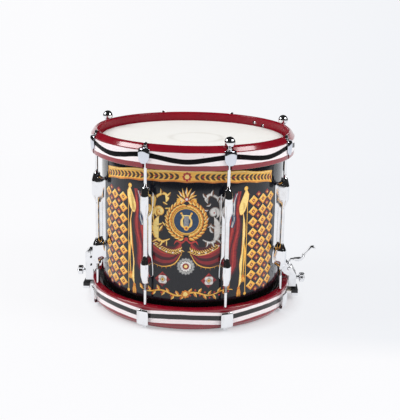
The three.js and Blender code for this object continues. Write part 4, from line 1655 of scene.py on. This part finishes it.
def paintMesh(name, layers):
    # lays the flat shapes of one tone round the shell, each layer a little further out
    points, faces = [], []
    for layer, outlines in sorted(layers.items()):
        work = bmesh.new()
        for outline in outlines:
            work.faces.new([work.verts.new((x, 0, z)) for x, z in outline])
        bmesh.ops.triangulate(work, faces=work.faces, ngon_method="EAR_CLIP")
        reach = max(abs(v.co.x) for v in work.verts)
        cut = -math.floor(reach / panel["slice"]) * panel["slice"]
        while cut < reach:
            bisect(work, 1e-4, (cut, 0, 0), (1, 0, 0))
            cut += panel["slice"]
        work.verts.index_update()
        radius = shellRadius + panel["lift"] + panel["layer"] * layer
        start = len(points)
        for v in work.verts:
            turn = v.co.x * mm / shellRadius
            points.append((drumX + radius * math.sin(turn), -radius * math.cos(turn), v.co.z * mm))
        faces += [tuple(start + v.index for v in face.verts) for face in work.faces]
        work.free()
    mesh = meshFrom(name, points, faces)
    middle = Vector((drumX, 0, 0))
    work = bmesh.new()
    work.from_mesh(mesh)
    for face in work.faces:
        away = face.calc_center_median() - middle
        away.z = 0
        if face.normal.dot(away) < 0:
            face.normal_flip()
    work.to_mesh(mesh)
    work.free()
    return mesh


for tone, layers in painted.items():
    mesh = paintMesh("painted_" + tone, layers)
    finish = makePaint(tone, paintTones[tone])
    piece = addPiece("painted_" + tone, mesh, finish, "drum", "shell_paint")
    film = piece.modifiers.new("film", "SOLIDIFY")
    film.thickness = panel["film"]
    film.offset = -1
    applied(piece)
    smoothMesh(piece.data, 20)
print("front painted:", {tone: sum(map(len, layers.values())) for tone, layers in painted.items()})

# Camera: at the photograph's place, a little above the drum and in front of it
view = {
    "x": 84.95 * mm,  # from the drum's axis
    "y": -1639.8 * mm,
    "z": 636.5 * mm,
    "yaw": -2.387,
    "pitch": 15.579,  # downwards
    "roll": 1.117,
    "lens": 72.89,
    "sensor": 36,
}


def makeCamera():
    yaw, pitch, roll = (math.radians(view[key]) for key in ("yaw", "pitch", "roll"))
    flat = math.cos(pitch)
    forward = Vector((math.sin(yaw) * flat, math.cos(yaw) * flat, -math.sin(pitch)))
    level = Vector((math.cos(yaw), -math.sin(yaw), 0))
    up = level.cross(forward)
    right = math.cos(roll) * level + math.sin(roll) * up
    rolledUp = -math.sin(roll) * level + math.cos(roll) * up
    camera = bpy.data.objects.new("camera", bpy.data.cameras.new("camera"))
    camera.data.lens = view["lens"]
    camera.data.sensor_width = view["sensor"]
    rows = Matrix((right, rolledUp, -forward)).transposed().to_4x4()
    camera.matrix_world = Matrix.Translation((drumX + view["x"], view["y"], view["z"])) @ rows
    bpy.context.collection.objects.link(camera)
    bpy.context.scene.camera = camera


makeCamera()

# Studio: white paper below and behind, a soft box at each side, and a dark room in front
studio = {
    "paperHalf": 60.0,
    "paperColour": (0.86, 0.86, 0.88),
    "backdrop": (0.968, 0.968, 0.985),
    "backdropShaded": (0.88, 0.896, 0.93),  # painted shade: the backdrop is darkened towards the right
    "backdropSides": (-0.2, 0.25),
    "tableEdge": (-0.29, -0.19),  # the darkening starts just in front of the drum
    "contactShare": 0.6,  # how much of the paper's own shading shows against the drum
    "contactReach": 0.224,
    "shadowShare": 0.13,  # and further out
    "shadowFade": (0.45, 1.5),
    "roomGlow": 0.65,
    "darkRoom": (0.02, 0.02, 0.02),
    "paperReach": (2.0, 2.2),  # how far in front and to the sides the white reaches, as metal shows it
    "backFrom": (0.72, 0.87),
    "backHeight": (0.18, 0.26),
}
softBoxes = {
    "left_box": {"aim": (-0.8, -0.13, 0.6), "size": 0.95, "watts": 28},
    "right_box": {"aim": (0.74, -0.25, 0.62), "size": 0.9, "watts": 23},
}
boxDistance = 2.4


def makeFloor():
    half = studio["paperHalf"]
    corners = [(-half, -half, 0), (half, -half, 0), (half, half, 0), (-half, half, 0)]
    mesh = meshFrom("paper", corners, [(0, 1, 2, 3)])
    paper = bpy.data.objects.new("paper", mesh)
    bpy.context.collection.objects.link(paper)
    look = {"Base Color": (*studio["paperColour"], 1), "Roughness": 0.9, "Specular IOR Level": 0.0}
    finish, tree, shader = newFinish("paper", look)
    place = objectPlace(tree)
    x, y, z = splitAxes(tree, place)
    away = addNode(tree, "ShaderNodeVectorMath", {0: place}, operation="LENGTH").outputs["Value"]
    rays = addNode(tree, "ShaderNodeLightPath", {}).outputs
    # the paper's own shading shows in the drum's shadow, and plain white further out
    shares = studio["contactShare"], studio["shadowShare"]
    contact = ranged(tree, away, hoopRadius, studio["contactReach"], *shares)
    own = sums(tree, "MULTIPLY", contact, ranged(tree, away, *studio["shadowFade"], 1, 0))
    # metal shows white near the drum and behind it, and the dark room elsewhere
    near = ranged(tree, away, *studio["paperReach"], 1, 0)
    behind = ranged(tree, sums(tree, "DIVIDE", y, away), *studio["backFrom"], 0, 1)
    lit = sums(tree, "MAXIMUM", sums(tree, "MAXIMUM", near, behind), rays["Is Camera Ray"])
    # painted shade on the paper, darker to the right and beyond the table edge
    across = sums(tree, "DIVIDE", x, sums(tree, "SUBTRACT", y, view["y"]))
    rightwards = ranged(tree, across, *studio["backdropSides"], 0, 1)
    beyond = ranged(tree, y, *studio["tableEdge"], 0, 1)
    shade = sums(tree, "MULTIPLY", rightwards, beyond)
    paperTone = blended(tree, shade, studio["backdrop"], studio["backdropShaded"])
    tone = blended(tree, lit, studio["darkRoom"], paperTone)
    white = addNode(tree, "ShaderNodeEmission", {"Color": tone, "Strength": 1.0})
    seen = sums(tree, "MAXIMUM", rays["Is Camera Ray"], rays["Is Glossy Ray"])
    seen = sums(tree, "MAXIMUM", seen, rays["Is Transmission Ray"])
    share = sums(tree, "MULTIPLY", seen, sums(tree, "SUBTRACT", 1.0, own))
    both = addNode(tree, "ShaderNodeMixShader", {0: share, 1: shader.outputs[0], 2: white.outputs[0]})
    tree.links.new(both.outputs[0], tree.nodes["Material Output"].inputs["Surface"])
    mesh.materials.append(finish)


def makeRoom():
    # the light is even, and metal shows a dark room with a white backdrop behind the drum
    world = bpy.data.worlds.new("room")
    bpy.context.scene.world = world
    world.use_nodes = True
    tree = world.node_tree
    tree.nodes.clear()
    x, y, z = splitAxes(tree, addNode(tree, "ShaderNodeTexCoord", {}).outputs["Generated"])
    behind = ranged(tree, y, *studio["backFrom"], 0, 1)
    low = ranged(tree, z, *studio["backHeight"], 1, 0)
    lit = sums(tree, "MULTIPLY", behind, low)
    walls = blended(tree, lit, studio["darkRoom"], studio["backdrop"])
    rays = addNode(tree, "ShaderNodeLightPath", {}).outputs
    shiny = sums(tree, "MAXIMUM", rays["Is Glossy Ray"], rays["Is Transmission Ray"])

    def glowing(colour, strength):
        inputs = {"Color": colour, "Strength": strength}
        return addNode(tree, "ShaderNodeBackground", inputs).outputs[0]

    def chosen(share, first, second):
        return addNode(tree, "ShaderNodeMixShader", {0: share, 1: first, 2: second}).outputs[0]

    unseen = chosen(shiny, glowing((1, 1, 1, 1), studio["roomGlow"]), glowing(walls, 1.0))
    last = chosen(rays["Is Camera Ray"], unseen, glowing((*studio["backdrop"], 1), 1.0))
    out = addNode(tree, "ShaderNodeOutputWorld", {})
    tree.links.new(last, out.inputs["Surface"])


def makeLamps():
    target = Vector((drumX, 0, middleZ))
    for name, box in softBoxes.items():
        data = bpy.data.lights.new(name, "AREA")
        data.shape = "SQUARE"
        data.size = box["size"]
        data.energy = box["watts"]
        lamp = bpy.data.objects.new(name, data)
        aim = Vector(box["aim"]).normalized()
        lamp.location = target + aim * boxDistance
        lamp.rotation_euler = (-aim).to_track_quat("-Z", "Y").to_euler()
        bpy.context.collection.objects.link(lamp)


makeFloor()
makeRoom()
makeLamps()
bpy.context.scene.view_settings.view_transform = "Standard"
print("studio made")
